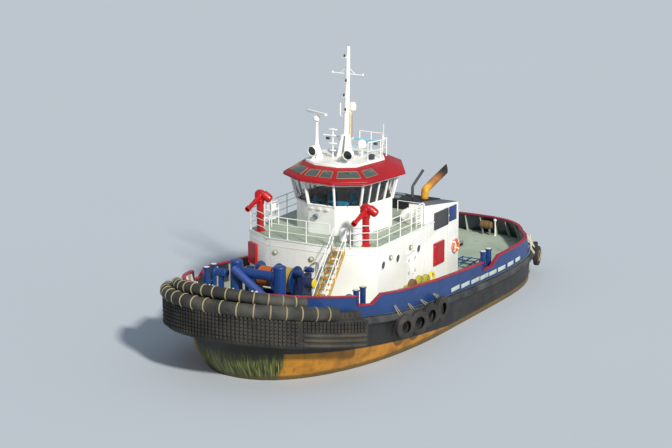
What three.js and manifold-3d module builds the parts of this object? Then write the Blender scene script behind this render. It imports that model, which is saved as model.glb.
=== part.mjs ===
// Harbour tugboat with two steerable thrusters under the stern.
// Millimetres, +X towards the bow, +Y to port, +Z up. The origin is amidships on the waterline.
import * as THREE from "three";
import { mergeVertices } from "three/addons/utils/BufferGeometryUtils.js";
import ManifoldModule from "manifold-3d";

const wasm = await ManifoldModule();
wasm.setup();

// Running gap between solids that rest on each other.
const SEAT_GAP = 0.3;

// Edges shorter than this are closed up in the finished meshes.
const SLIVER = 0.05;

// Plan shapes of the hull. Each end is a superellipse from its shoulder to its tip.
const DECK_EDGE = {
  stern: -14100,
  run: -6000,
  sternPower: 2.9,
  shoulder: 3900,
  bow: 12600,
  bowPower: 2.15,
  half: 5100,
};
const HULL_LEVELS = [
  // z, stern, run, bow, shoulder, half
  [-3500, -1500, 500, 7600, 2500, 1500],
  [-3250, -3200, -600, 8700, 2500, 3100],
  [-2750, -5600, -1800, 9600, 2200, 4250],
  [-2100, -8300, -3200, 10250, 1900, 4800],
  [-1400, -11800, -5200, 10700, 1300, 4960],
  [-600, -13600, -6000, 11050, 600, 5030],
  [0, -13900, -6000, 11300, 0, 5060],
  [900, -14000, -6000, 11950, 1900, 5080],
];

// Heights.
const RAIL_LOW = 2600;
const RAIL_RISE = 4.8e-6;
const RAIL_RISE_START = -8000;
const BULWARK_HEIGHT = 1050;
const BULWARK_THICK = 90;
const RAIL_THICK = 70;
const RAIL_WIDTH = 190;
const BOAT_DECK_TOP = 5180;
const BOAT_DECK_THICK = 80;
const WALL = 90;

// Dips in the bulwark over the bitts: fore end, aft end, length of the aft ramp, drop.
const RAIL_DIPS = [
  { fore: 8100, aft: 6300, ramp: 750, drop: 450 },
  { fore: -4300, aft: -6150, ramp: 800, drop: 420 },
];
const DIP_FORE_SLOPE = 60;

// Round the stern the bulwark leans inboard towards its top.
const STERN_LEAN = { start: -10000, full: -12200, depth: 500 };

// Deckhouse plan: side walls, chamfered front.
const HOUSE = { aft: -4450, chamferAft: 4250, front: 5200, half: 3600, frontHalf: 1950 };
const SIDE_DOOR = { aft: 380, fore: 1180, sill: 250, height: 1850 };
const AFT_DOOR = { low: -400, high: 400, sill: 250, height: 1850 };
const LEAF_GAP = 8;
const LEAF_THICK = 55;
const HINGE = { back: 30, out: 26, radius: 25.6, tab: 14 };

// Wheelhouse plan corners at the sill, port side from front to back, and how far the windows lean out.
const WHEELHOUSE_CORNERS = [
  [3400, 740],
  [2700, 1800],
  [200, 2220],
  [-1500, 1150],
];
const SILL = 6600;
const WINDOW_HEAD = 7880;
const WINDOW_LEAN = 280;
const WHEELHOUSE_WALL = 80;
const WHEELHOUSE_FLOOR = 5560;
const ROOF_LOW = WINDOW_HEAD + SEAT_GAP;
const ROOF_TOP = 8500;
const ROOF_OVERHANG = 620;
const ROOF_INSET = -330;

// Fire monitors, winch, staple and thrusters.
const MONITOR = { x: 4290, y: 2960, postTop: 6620, droop: 18 };
const WINCH = { x: 7550, z: 3950 };
const STAPLE = { x: 9400, y: 1190, top: 5120, radius: 290 };
const THRUSTER = { x: -10600, y: 2200, flange: -1960, shaft: -3350 };
const NOZZLE = { inner: 1120, outer: 1270 };
const BLADE_TIP = 1020;

const FINISH = {
  blue: [0x1b4a8f, 0.45, 0],
  black: [0x17181a, 0.6, 0],
  red: [0xc4141c, 0.4, 0],
  white: [0xf0f0ec, 0.45, 0],
  rubber: [0x2c2d2c, 0.9, 0],
  deck: [0x7f9382, 0.8, 0],
  grey: [0x7d858a, 0.6, 0],
  ochre: [0xc78a2a, 0.5, 0],
  bronze: [0xa9803c, 0.35, 0.9],
  glass: [0x33484c, 0.05, 0],
  fabric: [0x1c86b8, 0.8, 0],
};

const tug = new THREE.Group();

// Solids

function solidOf(geometry) {
  const bare = geometry.clone();
  bare.deleteAttribute("normal");
  bare.deleteAttribute("uv");
  const merged = mergeVertices(bare, 0.01);
  const mesh = new wasm.Mesh({
    numProp: 3,
    vertProperties: new Float32Array(merged.attributes.position.array),
    triVerts: new Uint32Array(merged.index.array),
  });
  mesh.merge();
  return new wasm.Manifold(mesh);
}

function geometryOf(solid) {
  const mesh = solid.getMesh();
  const geometry = new THREE.BufferGeometry();
  geometry.setAttribute("position", new THREE.BufferAttribute(new Float32Array(mesh.vertProperties), 3));
  geometry.setIndex(new THREE.BufferAttribute(new Uint32Array(mesh.triVerts), 1));
  geometry.computeVertexNormals();
  return geometry;
}

function join(...solids) {
  return solids.flat().reduce((whole, solid) => whole.add(solid));
}

function cut(solid, ...tools) {
  return tools.flat().reduce((left, tool) => left.subtract(tool), solid);
}

// Moves a solid against another one along a direction in plan, until the seat gap is left.
function seatAgainst(solid, other, [dx, dy], reach = 300, rounds = 8) {
  let seated = solid;
  for (let k = 0; k < rounds; k += 1) {
    const step = seated.minGap(other, reach) - SEAT_GAP;
    seated = seated.translate([dx * step, dy * step, 0]);
  }
  return seated;
}

function box([x0, x1], [y0, y1], [z0, z1]) {
  const geometry = new THREE.BoxGeometry(x1 - x0, y1 - y0, z1 - z0);
  geometry.translate((x0 + x1) / 2, (y0 + y1) / 2, (z0 + z1) / 2);
  return solidOf(geometry);
}

function rod(from, to, radius, sides = 8, endRadius = radius) {
  const start = new THREE.Vector3(...from);
  const along = new THREE.Vector3(...to).sub(start);
  const geometry = new THREE.CylinderGeometry(endRadius, radius, along.length(), sides);
  geometry.translate(0, along.length() / 2, 0);
  const up = new THREE.Vector3(0, 1, 0);
  geometry.applyQuaternion(new THREE.Quaternion().setFromUnitVectors(up, along.clone().normalize()));
  geometry.translate(...from);
  return solidOf(geometry);
}

function extrude(points, depth) {
  const shape = new THREE.Shape(points.map(([x, y]) => new THREE.Vector2(x, y)));
  return new THREE.ExtrudeGeometry(shape, { depth, bevelEnabled: false, steps: 1 });
}

// Outline in X and Y, from z0 up to z1.
function plate(points, z0, z1) {
  const geometry = extrude(points, z1 - z0);
  geometry.translate(0, 0, z0);
  return solidOf(geometry);
}

// Outline in X and Z, from y0 to y1.
function slab(points, y0, y1) {
  const geometry = extrude(points, y1 - y0);
  geometry.rotateX(Math.PI / 2);
  geometry.translate(0, y1, 0);
  return solidOf(geometry);
}

// Circle with the given number of sides, swept along a smooth curve.
function tube(points, radius, sides = 8, steps = 24) {
  const section = [];
  for (let k = 0; k < sides; k += 1) {
    const angle = (2 * Math.PI * k) / sides;
    section.push(new THREE.Vector2(radius * Math.cos(angle), radius * Math.sin(angle)));
  }
  const path = new THREE.CatmullRomCurve3(points.map((p) => new THREE.Vector3(...p)), false, "centripetal");
  const options = { steps, bevelEnabled: false, extrudePath: path };
  return solidOf(new THREE.ExtrudeGeometry(new THREE.Shape(section), options));
}

// Solid of revolution about an axis through the centre; profile holds (radius, distance along the axis).
function turned(profile, sides, axis = "z") {
  const geometry = new THREE.LatheGeometry(profile.map(([r, h]) => new THREE.Vector2(r, h)), sides);
  if (axis === "z") geometry.rotateX(Math.PI / 2);
  if (axis === "x") geometry.rotateZ(-Math.PI / 2);
  return solidOf(geometry);
}

function meshFrom(positions, triangles) {
  const geometry = new THREE.BufferGeometry();
  geometry.setAttribute("position", new THREE.BufferAttribute(new Float32Array(positions.flat()), 3));
  geometry.setIndex(triangles.flat());
  let volume = 0;
  for (const [a, b, c] of triangles) {
    const [p, q, r] = [a, b, c].map((k) => new THREE.Vector3(...positions[k]));
    volume += p.dot(q.cross(r));
  }
  if (volume < 0) geometry.setIndex(triangles.map(([a, b, c]) => [a, c, b]).flat());
  return solidOf(geometry);
}

function addPart(name, solid, finish, parent = tug) {
  const [color, roughness, metalness] = FINISH[finish];
  const material = new THREE.MeshStandardMaterial({ color, roughness, metalness });
  const mesh = new THREE.Mesh(geometryOf(solid.simplify(SLIVER)), material);
  mesh.name = name;
  parent.add(mesh);
  return mesh;
}

// Plan curves

function superRoot(share, power) {
  return (1 - Math.min(1, share) ** power) ** (1 / power);
}

function halfBreadth(x, form) {
  const { stern, run, sternPower, shoulder, bow, bowPower, half } = form;
  if (x > shoulder) return half * superRoot((x - shoulder) / (bow - shoulder), bowPower);
  if (x < run) return half * superRoot((run - x) / (run - stern), sternPower);
  return half;
}

// Stations along X from stern to bow, closer together at the rounded ends.
function stations(form, sternSteps = 12, middleSteps = 3, bowSteps = 15) {
  const list = [];
  for (let k = 0; k <= sternSteps; k += 1) {
    const angle = (Math.PI / 2) * (1 - k / sternSteps);
    list.push(form.run - (form.run - form.stern) * Math.sin(angle) ** (2 / form.sternPower));
  }
  for (let k = 1; k < middleSteps; k += 1) {
    list.push(form.run + ((form.shoulder - form.run) * k) / middleSteps);
  }
  for (let k = 0; k <= bowSteps; k += 1) {
    const angle = (Math.PI / 2) * (k / bowSteps);
    list.push(form.shoulder + (form.bow - form.shoulder) * Math.sin(angle) ** (2 / form.bowPower));
  }
  return list;
}

function fullOutline(xs, form) {
  const port = xs.map((x) => [x, halfBreadth(x, form)]);
  const starboard = port.slice(1, -1).reverse().map(([x, y]) => [x, -y]);
  port[0][1] = 0;
  port[port.length - 1][1] = 0;
  return [...port, ...starboard];
}

const DECK_STATIONS = stations(DECK_EDGE);

function railLine(x) {
  return RAIL_LOW + (x > RAIL_RISE_START ? RAIL_RISE * (x - RAIL_RISE_START) ** 2 : 0);
}

// Deck height, straight between the hull's stations as its plating is.
function deckHeight(x) {
  const last = DECK_STATIONS.length - 1;
  const clamped = Math.min(Math.max(x, DECK_STATIONS[0]), DECK_STATIONS[last]);
  let k = 0;
  while (k < last - 1 && DECK_STATIONS[k + 1] < clamped) k += 1;
  const share = (clamped - DECK_STATIONS[k]) / (DECK_STATIONS[k + 1] - DECK_STATIONS[k]);
  const low = railLine(DECK_STATIONS[k]) - BULWARK_HEIGHT;
  const high = railLine(DECK_STATIONS[k + 1]) - BULWARK_HEIGHT;
  return low + share * (high - low);
}

function railTop(x) {
  let drop = 0;
  for (const dip of RAIL_DIPS) {
    const inFore = (dip.fore - x) / DIP_FORE_SLOPE;
    const inAft = (x - dip.aft) / dip.ramp;
    drop = Math.max(drop, dip.drop * Math.min(1, Math.max(0, Math.min(inFore, inAft))));
  }
  return railLine(x) - drop;
}

// How far the bulwark's top stands inboard of its foot.
function bulwarkLean(x) {
  const { start, full, depth } = STERN_LEAN;
  return depth * THREE.MathUtils.smoothstep(-x, -start, -full);
}

// Closed rings of equal count, stacked and capped by strips between the two sides.
function loftLevels(rings) {
  const count = rings[0].length;
  const triangles = [];
  for (let level = 0; level < rings.length - 1; level += 1) {
    for (let k = 0; k < count; k += 1) {
      const next = (k + 1) % count;
      const [a, b] = [level * count + k, level * count + next];
      triangles.push([a, b, b + count], [a, b + count, a + count]);
    }
  }
  const capStrip = (base, flip) => {
    const push = (a, b, c) => triangles.push((flip ? [a, c, b] : [a, b, c]).map((corner) => base + corner));
    const half = count / 2;
    push(0, count - 1, 1);
    for (let k = 1; k < half - 1; k += 1) {
      push(k, count - k, count - k - 1);
      push(k, count - k - 1, k + 1);
    }
    push(half - 1, half + 1, half);
  };
  capStrip(0, false);
  capStrip((rings.length - 1) * count, true);
  return meshFrom(rings.flat(), triangles);
}

function withNormals(points, closed) {
  return points.map(([x, y], k) => {
    const before = points[k === 0 ? (closed ? points.length - 1 : 0) : k - 1];
    const after = points[k === points.length - 1 ? (closed ? 0 : k) : k + 1];
    const [dx, dy] = [after[0] - before[0], after[1] - before[1]];
    const length = Math.hypot(dx, dy);
    return { x, y, nx: -dy / length, ny: dx / length };
  });
}

// A section of (outward offset, height) pairs carried along a plan path.
function band(points, closed, sectionAt) {
  const path = withNormals(points, closed);
  const rings = path.map((p) => sectionAt(p.x).map(([out, z]) => [p.x + p.nx * out, p.y + p.ny * out, z]));
  const sides = rings[0].length;
  const triangles = [];
  const spans = closed ? rings.length : rings.length - 1;
  for (let k = 0; k < spans; k += 1) {
    const here = k * sides;
    const there = ((k + 1) % rings.length) * sides;
    for (let s = 0; s < sides; s += 1) {
      const t = (s + 1) % sides;
      triangles.push([here + s, here + t, there + t], [here + s, there + t, there + s]);
    }
  }
  if (!closed) {
    const end = (rings.length - 1) * sides;
    for (let s = 1; s < sides - 1; s += 1) {
      triangles.push([0, s + 1, s], [end, end + s, end + s + 1]);
    }
  }
  return meshFrom(rings.flat(), triangles);
}

// Plan path along the deck edge: from the port side at x, round the bow or the stern, to starboard.
function pathRound(end, x) {
  const beyond = DECK_STATIONS.filter((s) => (end === "bow" ? s > x + 150 : s < x - 150));
  const ordered = end === "bow" ? beyond : [...beyond].reverse();
  const port = [x, ...ordered].map((s) => [s, halfBreadth(s, DECK_EDGE)]);
  const tip = port[port.length - 1];
  tip[1] = 0;
  const starboard = port.slice(0, -1).reverse().map(([px, py]) => [px, -py]);
  const path = [...port, ...starboard];
  return end === "stern" ? path.reverse() : path;
}

// The same path with its two ends carried on by a distance.
function lengthened(path, distance) {
  const carry = (end, next) => {
    const length = Math.hypot(end[0] - next[0], end[1] - next[1]);
    return end.map((v, k) => v + ((v - next[k]) * distance) / length);
  };
  const last = path.length - 1;
  return [carry(path[0], path[1]), ...path.slice(1, last), carry(path[last], path[last - 1])];
}

function circleSection(out, z, radius, sides) {
  const section = [];
  for (let k = 0; k < sides; k += 1) {
    const angle = (2 * Math.PI * k) / sides;
    section.push([out + radius * Math.cos(angle), z + radius * Math.sin(angle)]);
  }
  return section;
}

function grownForm(form, grow) {
  return { ...form, stern: form.stern - grow, bow: form.bow + grow, half: form.half + grow };
}

// Hull shell: levels below the deck edge, then the deck edge with its sheer.
function makeShell(grow = 0) {
  const edge = grownForm(DECK_EDGE, grow);
  const deckRing = fullOutline(stations(edge), edge).map(([x, y]) => [x, y, railLine(x) - BULWARK_HEIGHT]);
  const rings = HULL_LEVELS.map(([z, stern, run, bow, shoulder, half]) => {
    const form = grownForm({ ...DECK_EDGE, stern, run, bow, shoulder, half }, grow);
    return fullOutline(stations(form), form).map(([x, y]) => [x, y, z]);
  });
  return loftLevels([...rings, deckRing]);
}

function makeHull() {
  const shell = makeShell();
  const seats = [1, -1].map((side) => {
    const centre = [THRUSTER.x, side * THRUSTER.y];
    return rod([...centre, -1000], [...centre, THRUSTER.flange], 900, 20);
  });
  return join(shell, seats);
}

// Deck hatch aft: its coaming is welded to the deck, its lid is hinged.
const HATCH = { fore: -9300, aft: -10700, half: 800, coaming: 160 };

function makeHatchCoaming() {
  const { fore, aft, half, coaming } = HATCH;
  const top = deckHeight(aft) + coaming;
  const outer = box([aft, fore], [-half, half], [1000, top]);
  const inner = box([aft + 80, fore - 80], [-half + 80, half - 80], [top - 500, top + 10]);
  return [outer, inner];
}

const [coamingOuter, coamingInner] = makeHatchCoaming();
const hullGrown = makeShell(SEAT_GAP + 0.4);
const hull = makeHull().add(coamingOuter).subtract(coamingInner);

// Everything under the deck's surface, wider than the hull, to trim what stands on the deck.
function makeBelowDeck() {
  const beyond = 3000;
  const far = 8000;
  const last = DECK_STATIONS.length - 1;
  const xs = [DECK_STATIONS[0] - beyond, ...DECK_STATIONS, DECK_STATIONS[last] + beyond];
  const port = xs.map((x, k) => [x, k === 0 || k === xs.length - 1 ? 0 : far]);
  const ring = [...port, ...port.slice(1, -1).reverse().map(([x, y]) => [x, -y])];
  return loftLevels([
    ring.map(([x, y]) => [x, y, -5000]),
    ring.map(([x, y]) => [x, y, deckHeight(x) + SEAT_GAP]),
  ]);
}

const belowDeck = makeBelowDeck();

function standOnDeck(solid) {
  return solid.subtract(belowDeck);
}

// Keel skeg under the hull, forward of the thrusters.
function makeSkeg() {
  const side = [[-8300, -4300], [3500, -4300], [6200, -3700], [6200, -2600], [-7600, -1800]];
  return slab(side, -130, 130).subtract(hull.translate(0, 0, -SEAT_GAP));
}

// Bulwark and its cap rail, closed rings with the dips over the bitts.
function railStations() {
  const extra = RAIL_DIPS.flatMap(({ fore, aft, ramp }) => [fore, fore - DIP_FORE_SLOPE, aft + ramp, aft]);
  const kept = DECK_STATIONS.filter((s) => extra.every((e) => Math.abs(e - s) > 120));
  return [...kept, ...extra].sort((a, b) => a - b);
}

function makeBulwark() {
  const outline = fullOutline(railStations(), DECK_EDGE);
  const section = (x) => [
    [-15, deckHeight(x) - 60],
    [-15 - bulwarkLean(x), railTop(x) - RAIL_THICK / 2],
    [-15 - bulwarkLean(x) - BULWARK_THICK, railTop(x) - RAIL_THICK / 2],
    [-15 - BULWARK_THICK, deckHeight(x) - 60],
  ];
  return standOnDeck(band(outline, true, section)).subtract(makeCapRail().translate(0, 0, -SEAT_GAP));
}

function makeCapRail() {
  const outline = fullOutline(railStations(), DECK_EDGE);
  const middle = (x) => -15 - BULWARK_THICK / 2 - bulwarkLean(x);
  const section = (x) => [
    [middle(x) + RAIL_WIDTH / 2, railTop(x) - RAIL_THICK],
    [middle(x) + RAIL_WIDTH / 2, railTop(x)],
    [middle(x) - RAIL_WIDTH / 2, railTop(x)],
    [middle(x) - RAIL_WIDTH / 2, railTop(x) - RAIL_THICK],
  ];
  return band(outline, true, section);
}

// Bow fenders: two rubber cylinders over a block fender.
// Offsets are out from the deck edge and heights are down from the rail.
const UPPER_FENDER = { x: 10800, out: 265.3, below: 260, radius: 280, bowLift: 160 };
const LOWER_FENDER = { x: 9700, out: 730, below: 660, radius: 330, bowLift: 0 };
const BLOCK_FENDER = {
  x: 8200,
  inner: -900,
  ledge: 385,
  outer: 900,
  crest: 700,
  deck: 1100,
  top: 975,
  foot: 2320,
};
const SIDE_FENDER = { x: 8150, inner: -120, outer: 190, top: 1080, foot: 1430 };
const LIFT_START = 11000;
const LIFT_SHIFT = 0.44;

function makeCylinderFender({ x, out, below, radius, bowLift }, overrun = 0) {
  const path = lengthened(pathRound("bow", x), overrun);
  const lift = (s) => bowLift * (Math.max(0, s - LIFT_START) / (DECK_EDGE.bow - LIFT_START)) ** 2;
  const section = (s) => circleSection(out + LIFT_SHIFT * lift(s), railLine(s) - below + lift(s), radius, 12);
  return band(path, false, section);
}

// The block stands against the shell and has a ledge behind the lower cylinder.
function makeBlockFender({ x, inner, ledge, outer, crest, deck, top, foot }) {
  const section = (s) => [
    [inner, railLine(s) - foot + 90],
    [outer - 120, railLine(s) - foot],
    [outer, railLine(s) - foot + 130],
    [outer, railLine(s) - top - 60],
    [outer - 60, railLine(s) - top],
    [ledge + 15, railLine(s) - top],
    [ledge, railLine(s) - crest],
    [1, railLine(s) - crest],
    [1, railLine(s) - deck],
  ];
  const cylinderRoom = makeCylinderFender({ ...LOWER_FENDER, radius: LOWER_FENDER.radius + SEAT_GAP }, 5);
  return cut(band(pathRound("bow", x), false, section), hullGrown, cylinderRoom);
}

function makeSideFender({ x, inner, outer, top, foot }) {
  const section = (s) => [
    [inner, railLine(s) - foot],
    [outer - 70, railLine(s) - foot],
    [outer, railLine(s) - foot + 90],
    [outer, railLine(s) - top - 90],
    [outer - 70, railLine(s) - top],
    [inner, railLine(s) - top],
  ];
  return band(pathRound("stern", x), false, section).subtract(hullGrown);
}

addPart("hull", hull, "black");
addPart("skeg", makeSkeg(), "black");
addPart("bulwark", makeBulwark(), "blue");
addPart("cap_rail", makeCapRail(), "red");
addPart("bow_fender_upper", makeCylinderFender(UPPER_FENDER), "rubber");
addPart("bow_fender_lower", makeCylinderFender(LOWER_FENDER), "rubber");
addPart("bow_block_fender", makeBlockFender(BLOCK_FENDER), "rubber");
const sideFender = makeSideFender(SIDE_FENDER);
addPart("side_fender", sideFender, "rubber");

// Tyres hang against the side fender, touching one another.
const TYRE = { outer: 620, inner: 300, width: 330 };
const QUARTER_TYRE = { outer: 540, inner: 270, width: 300 };

function tyreAt({ outer, inner, width }, [x, y, z], heading) {
  const bulge = 80;
  const profile = [
    [inner, -width / 2],
    [outer - bulge, -width / 2],
    [outer, -width / 2 + bulge],
    [outer, width / 2 - bulge],
    [outer - bulge, width / 2],
    [inner, width / 2],
    [inner, -width / 2],
  ];
  return turned(profile, 16, "y").rotate([0, 0, heading]).translate([x, y, z]);
}

const TYRE_ROW = [
  // x, z, angle between the fender and the keel line
  [4700, 1600, -1],
  [3490, 1510, 0],
  [2280, 1540, 0],
  [1080, 1630, 0],
];
const QUARTER_ROW = [
  [-11900, 1150, 25.5],
  [-12650, 1150, 36.5],
];

// Each tyre stands off the deck edge first, then is moved in against the fender.
function makeTyres(size, rows, side) {
  const standOff = SIDE_FENDER.outer + size.width / 2 + 60;
  return join(rows.map(([x, z, angle]) => {
    const turn = THREE.MathUtils.degToRad(angle);
    const [nx, ny] = [-Math.sin(turn), Math.cos(turn)];
    const y = halfBreadth(x, DECK_EDGE) + standOff * ny;
    const tyre = tyreAt(size, [x + standOff * nx, side * y, z], side * angle);
    return seatAgainst(tyre, sideFender, [-nx, -side * ny]);
  }));
}

for (const [side, label] of [[1, "port"], [-1, "starboard"]]) {
  addPart(`tyres_${label}`, makeTyres(TYRE, TYRE_ROW, side), "rubber");
  addPart(`quarter_tyres_${label}`, makeTyres(QUARTER_TYRE, QUARTER_ROW, side), "rubber");
}

// Deckhouse walls: real panels from the deck up to the boat deck.
const HOUSE_WALL_TOP = BOAT_DECK_TOP - BOAT_DECK_THICK - SEAT_GAP;

function makeHouseSide(side) {
  const { aft, chamferAft, half } = HOUSE;
  const outer = side * half;
  const inner = side * (half - WALL);
  const [low, high] = [Math.min(inner, outer), Math.max(inner, outer)];
  const wall = box([aft, chamferAft - 60], [low, high], [1000, HOUSE_WALL_TOP]);
  const sill = deckHeight(SIDE_DOOR.aft) + SIDE_DOOR.sill;
  const doorway = [sill, sill + SIDE_DOOR.height];
  return standOnDeck(wall).subtract(box([SIDE_DOOR.aft, SIDE_DOOR.fore], [low - 50, high + 50], doorway));
}

function makeHouseFront() {
  const { chamferAft, front, half, frontHalf } = HOUSE;
  const slope = Math.atan2(half - frontHalf, front - chamferAft);
  const back = WALL / Math.sin(slope);
  const outer = [[chamferAft, half], [front, frontHalf], [front, -frontHalf], [chamferAft, -half]];
  const shoulder = frontHalf - WALL * Math.tan(slope / 2) * 0.9;
  const sideEnd = chamferAft - 59.5;
  const innerHalf = [[sideEnd, half], [sideEnd, half - WALL], [chamferAft - back + 110, half - WALL],
    [front - WALL, shoulder]];
  const inner = [...innerHalf.map(([x, y]) => [x, -y]), ...innerHalf.reverse()];
  return standOnDeck(plate([...outer, ...inner], 1000, HOUSE_WALL_TOP));
}

function makeHouseAft() {
  const { aft, half } = HOUSE;
  const reach = half - WALL - 0.5;
  const wall = box([aft, aft + WALL], [-reach, reach], [1000, HOUSE_WALL_TOP]);
  const sill = deckHeight(aft) + AFT_DOOR.sill;
  const doorway = [sill, sill + AFT_DOOR.height];
  return standOnDeck(wall).subtract(box([aft - 50, aft + WALL + 50], [AFT_DOOR.low, AFT_DOOR.high], doorway));
}

function makeBoatDeck() {
  const { aft, chamferAft, front, half, frontHalf } = HOUSE;
  const edge = 30;
  const side = [[aft - edge, half + edge], [chamferAft + edge, half + edge]];
  const port = [...side, [front + edge, frontHalf + edge]];
  const outline = [...port, ...[...port].reverse().map(([x, y]) => [x, -y])];
  return plate(outline, BOAT_DECK_TOP - BOAT_DECK_THICK, BOAT_DECK_TOP);
}

addPart("deckhouse_port_wall", makeHouseSide(1), "white");
addPart("deckhouse_starboard_wall", makeHouseSide(-1), "white");
addPart("deckhouse_front_wall", makeHouseFront(), "white");
addPart("deckhouse_aft_wall", makeHouseAft(), "white");
addPart("boat_deck", makeBoatDeck(), "deck");

// Weathertight door leaf in an opening: outer face at y = 0, hinge barrels beside the jamb at x = 0.
function makeLeaf(width, height, barrelHeights) {
  const { back, out, radius, tab } = HINGE;
  const barrelLength = 120;
  const leaf = box([LEAF_GAP, width - LEAF_GAP], [-LEAF_THICK, 0], [LEAF_GAP, height - LEAF_GAP]);
  const barrels = barrelHeights.map((z) => join(
    rod([-back, out, z], [-back, out, z + barrelLength], radius, 12),
    box([-back, 90], [SEAT_GAP + 0.1, tab], [z, z + barrelLength]),
    box([LEAF_GAP + 12, 90], [-5, tab], [z, z + barrelLength]),
  ));
  const [grip, root, middle] = [width * 0.62, width * 0.82, height * 0.5];
  const handleFoot = rod([root, -1, middle], [root, 60, middle], 14, 8);
  const handle = rod([root, 50, middle], [grip, 50, middle], 12, 8);
  return join(leaf, barrels, handleFoot, handle);
}

function placeDoor(name, leaf, [x, y, z], heading) {
  const mesh = addPart(name, leaf, "white");
  mesh.position.set(x, y, z);
  mesh.rotation.z = THREE.MathUtils.degToRad(heading);
}

const doorWidth = SIDE_DOOR.fore - SIDE_DOOR.aft;
const sideSill = deckHeight(SIDE_DOOR.aft) + SIDE_DOOR.sill;
const sideLeaf = makeLeaf(doorWidth, SIDE_DOOR.height, [200, 1530]);
placeDoor("deckhouse_port_door", sideLeaf.mirror([1, 0, 0]), [SIDE_DOOR.fore, HOUSE.half, sideSill], 0);
placeDoor("deckhouse_starboard_door", sideLeaf, [SIDE_DOOR.fore, -HOUSE.half, sideSill], 180);
const aftSill = deckHeight(HOUSE.aft) + AFT_DOOR.sill;
const aftLeaf = makeLeaf(AFT_DOOR.high - AFT_DOOR.low, AFT_DOOR.height, [200, 1530]);
placeDoor("deckhouse_aft_door", aftLeaf, [HOUSE.aft, AFT_DOOR.low, aftSill], 90);

// Engine casings on the boat deck, with sloped tops, and a low casing between them.
const CASING = { aft: -4400, fore: -850, inner: 2600, foreTop: 6150, aftTop: 5640 };

function makeSideCasing(side) {
  const { aft, fore, inner, foreTop, aftTop } = CASING;
  const base = BOAT_DECK_TOP + SEAT_GAP;
  const outline = [[aft, base], [fore, base], [fore, foreTop], [aft, aftTop]];
  const ys = [side * inner, side * (HOUSE.half - 5)].sort((a, b) => a - b);
  return slab(outline, ys[0], ys[1]);
}

function makeMiddleCasing() {
  const base = BOAT_DECK_TOP + SEAT_GAP;
  const reach = CASING.inner - 0.5;
  return box([-4350, -3100], [-reach, reach], [base, 5700]);
}

// Main exhaust: up out of the casing, then slanting aft. A thin auxiliary pipe stands beside it.
function makeExhaust(side) {
  const foot = 5700.5;
  const main = { x: -3750, y: 2000 * side, radius: 200 };
  const rise = rod([main.x, main.y, foot], [main.x, main.y, 6280], main.radius, 14);
  const slant = rod([main.x + 60, main.y, 6170], [-5900, main.y, 7020], main.radius - 10, 14);
  const thin = { x: -3750, y: 1290 * side, radius: 75 };
  const thinRise = rod([thin.x, thin.y, foot], [thin.x, thin.y, 6300], thin.radius, 8);
  const thinSlant = rod([thin.x + 20, thin.y, 6250], [-4900, thin.y, 6900], thin.radius - 5, 8);
  const ys = [thin.y, main.y].sort((a, b) => a - b);
  const saddle = box([main.x - 90, main.x + 90], ys, [foot, foot + 60]);
  return join(rise, slant, thinRise, thinSlant, saddle);
}

addPart("casing_port", makeSideCasing(1), "white");
addPart("casing_starboard", makeSideCasing(-1), "white");
addPart("casing_middle", makeMiddleCasing(), "black");
addPart("exhaust_port", makeExhaust(1), "ochre");
addPart("exhaust_starboard", makeExhaust(-1), "ochre");

// Rails: posts with three bars along a line of points.
function makeRailing(points, base, height, barCount = 3, post = 22, bar = 18) {
  const pieces = [];
  for (const [x, y] of points) {
    pieces.push(rod([x, y, base], [x, y, base + height], post, 4));
  }
  for (let k = 0; k < points.length - 1; k += 1) {
    for (let b = 1; b <= barCount; b += 1) {
      const z = base + (height * b) / barCount - (b === barCount ? bar : 0);
      pieces.push(rod([...points[k], z], [...points[k + 1], z], bar, 4));
    }
  }
  return join(pieces);
}

const RAIL_BASE = BOAT_DECK_TOP + SEAT_GAP;
const FRONT_RAILING = [
  [-400, -3550],
  [700, -3550],
  [1850, -3550],
  [3000, -3550],
  [4200, -3550],
  [5150, -1920],
  [5150, -900],
  [5150, 150],
  [5150, 1450],
];
const PORT_RAILING = [[4950, 2480], [4200, 3550], [3000, 3550], [1850, 3550], [700, 3550], [-400, 3550]];
addPart("railing_front", makeRailing(FRONT_RAILING, RAIL_BASE, 1050), "white");
addPart("railing_port", makeRailing(PORT_RAILING, RAIL_BASE, 1050), "white");

// Stair from the foredeck to the boat deck, with its treads and handrails.
const STAIR = { y: 2050, half: 330, topX: 5240, footX: 7250, treads: 11 };

function makeStair() {
  const { y, half, topX, footX, treads } = STAIR;
  const top = BOAT_DECK_TOP - 40;
  const foot = deckHeight(footX) + 5;
  const pieces = [];
  for (const side of [-1, 1]) {
    const edge = y + side * half;
    const lowEnd = [[footX - 130, foot], [footX + 60, foot], [footX + 60, foot + 60]];
    const outline = [[topX, top], [topX, top - 240], ...lowEnd];
    pieces.push(slab(outline, edge - 20, edge + 20));
    pieces.push(rod([topX + 120, edge, top - 160], [topX + 120, edge, top + 900], 20, 4));
    pieces.push(rod([footX - 60, edge, foot + 60], [footX - 60, edge, foot + 1060], 20, 4));
    pieces.push(rod([topX + 120, edge, top + 890], [footX - 60, edge, foot + 1050], 20, 4));
    pieces.push(rod([topX + 120, edge, top + 440], [footX - 60, edge, foot + 590], 16, 4));
  }
  for (let k = 1; k <= treads; k += 1) {
    const share = (k - 0.4) / treads;
    const x = topX + (footX - topX) * share;
    const z = top + (foot - top) * share;
    pieces.push(box([x - 30, x + 150], [y - half, y + half], [z - 40, z]));
  }
  return join(pieces);
}

addPart("front_stair", standOnDeck(makeStair()), "ochre");

// Fire monitors: a post, a head that turns on it and a barrel that tilts in the head.
const monitorAxis = { z: MONITOR.postTop + 0.5 };
const TRUNNION = { x: 60, z: 6880 };

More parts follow.
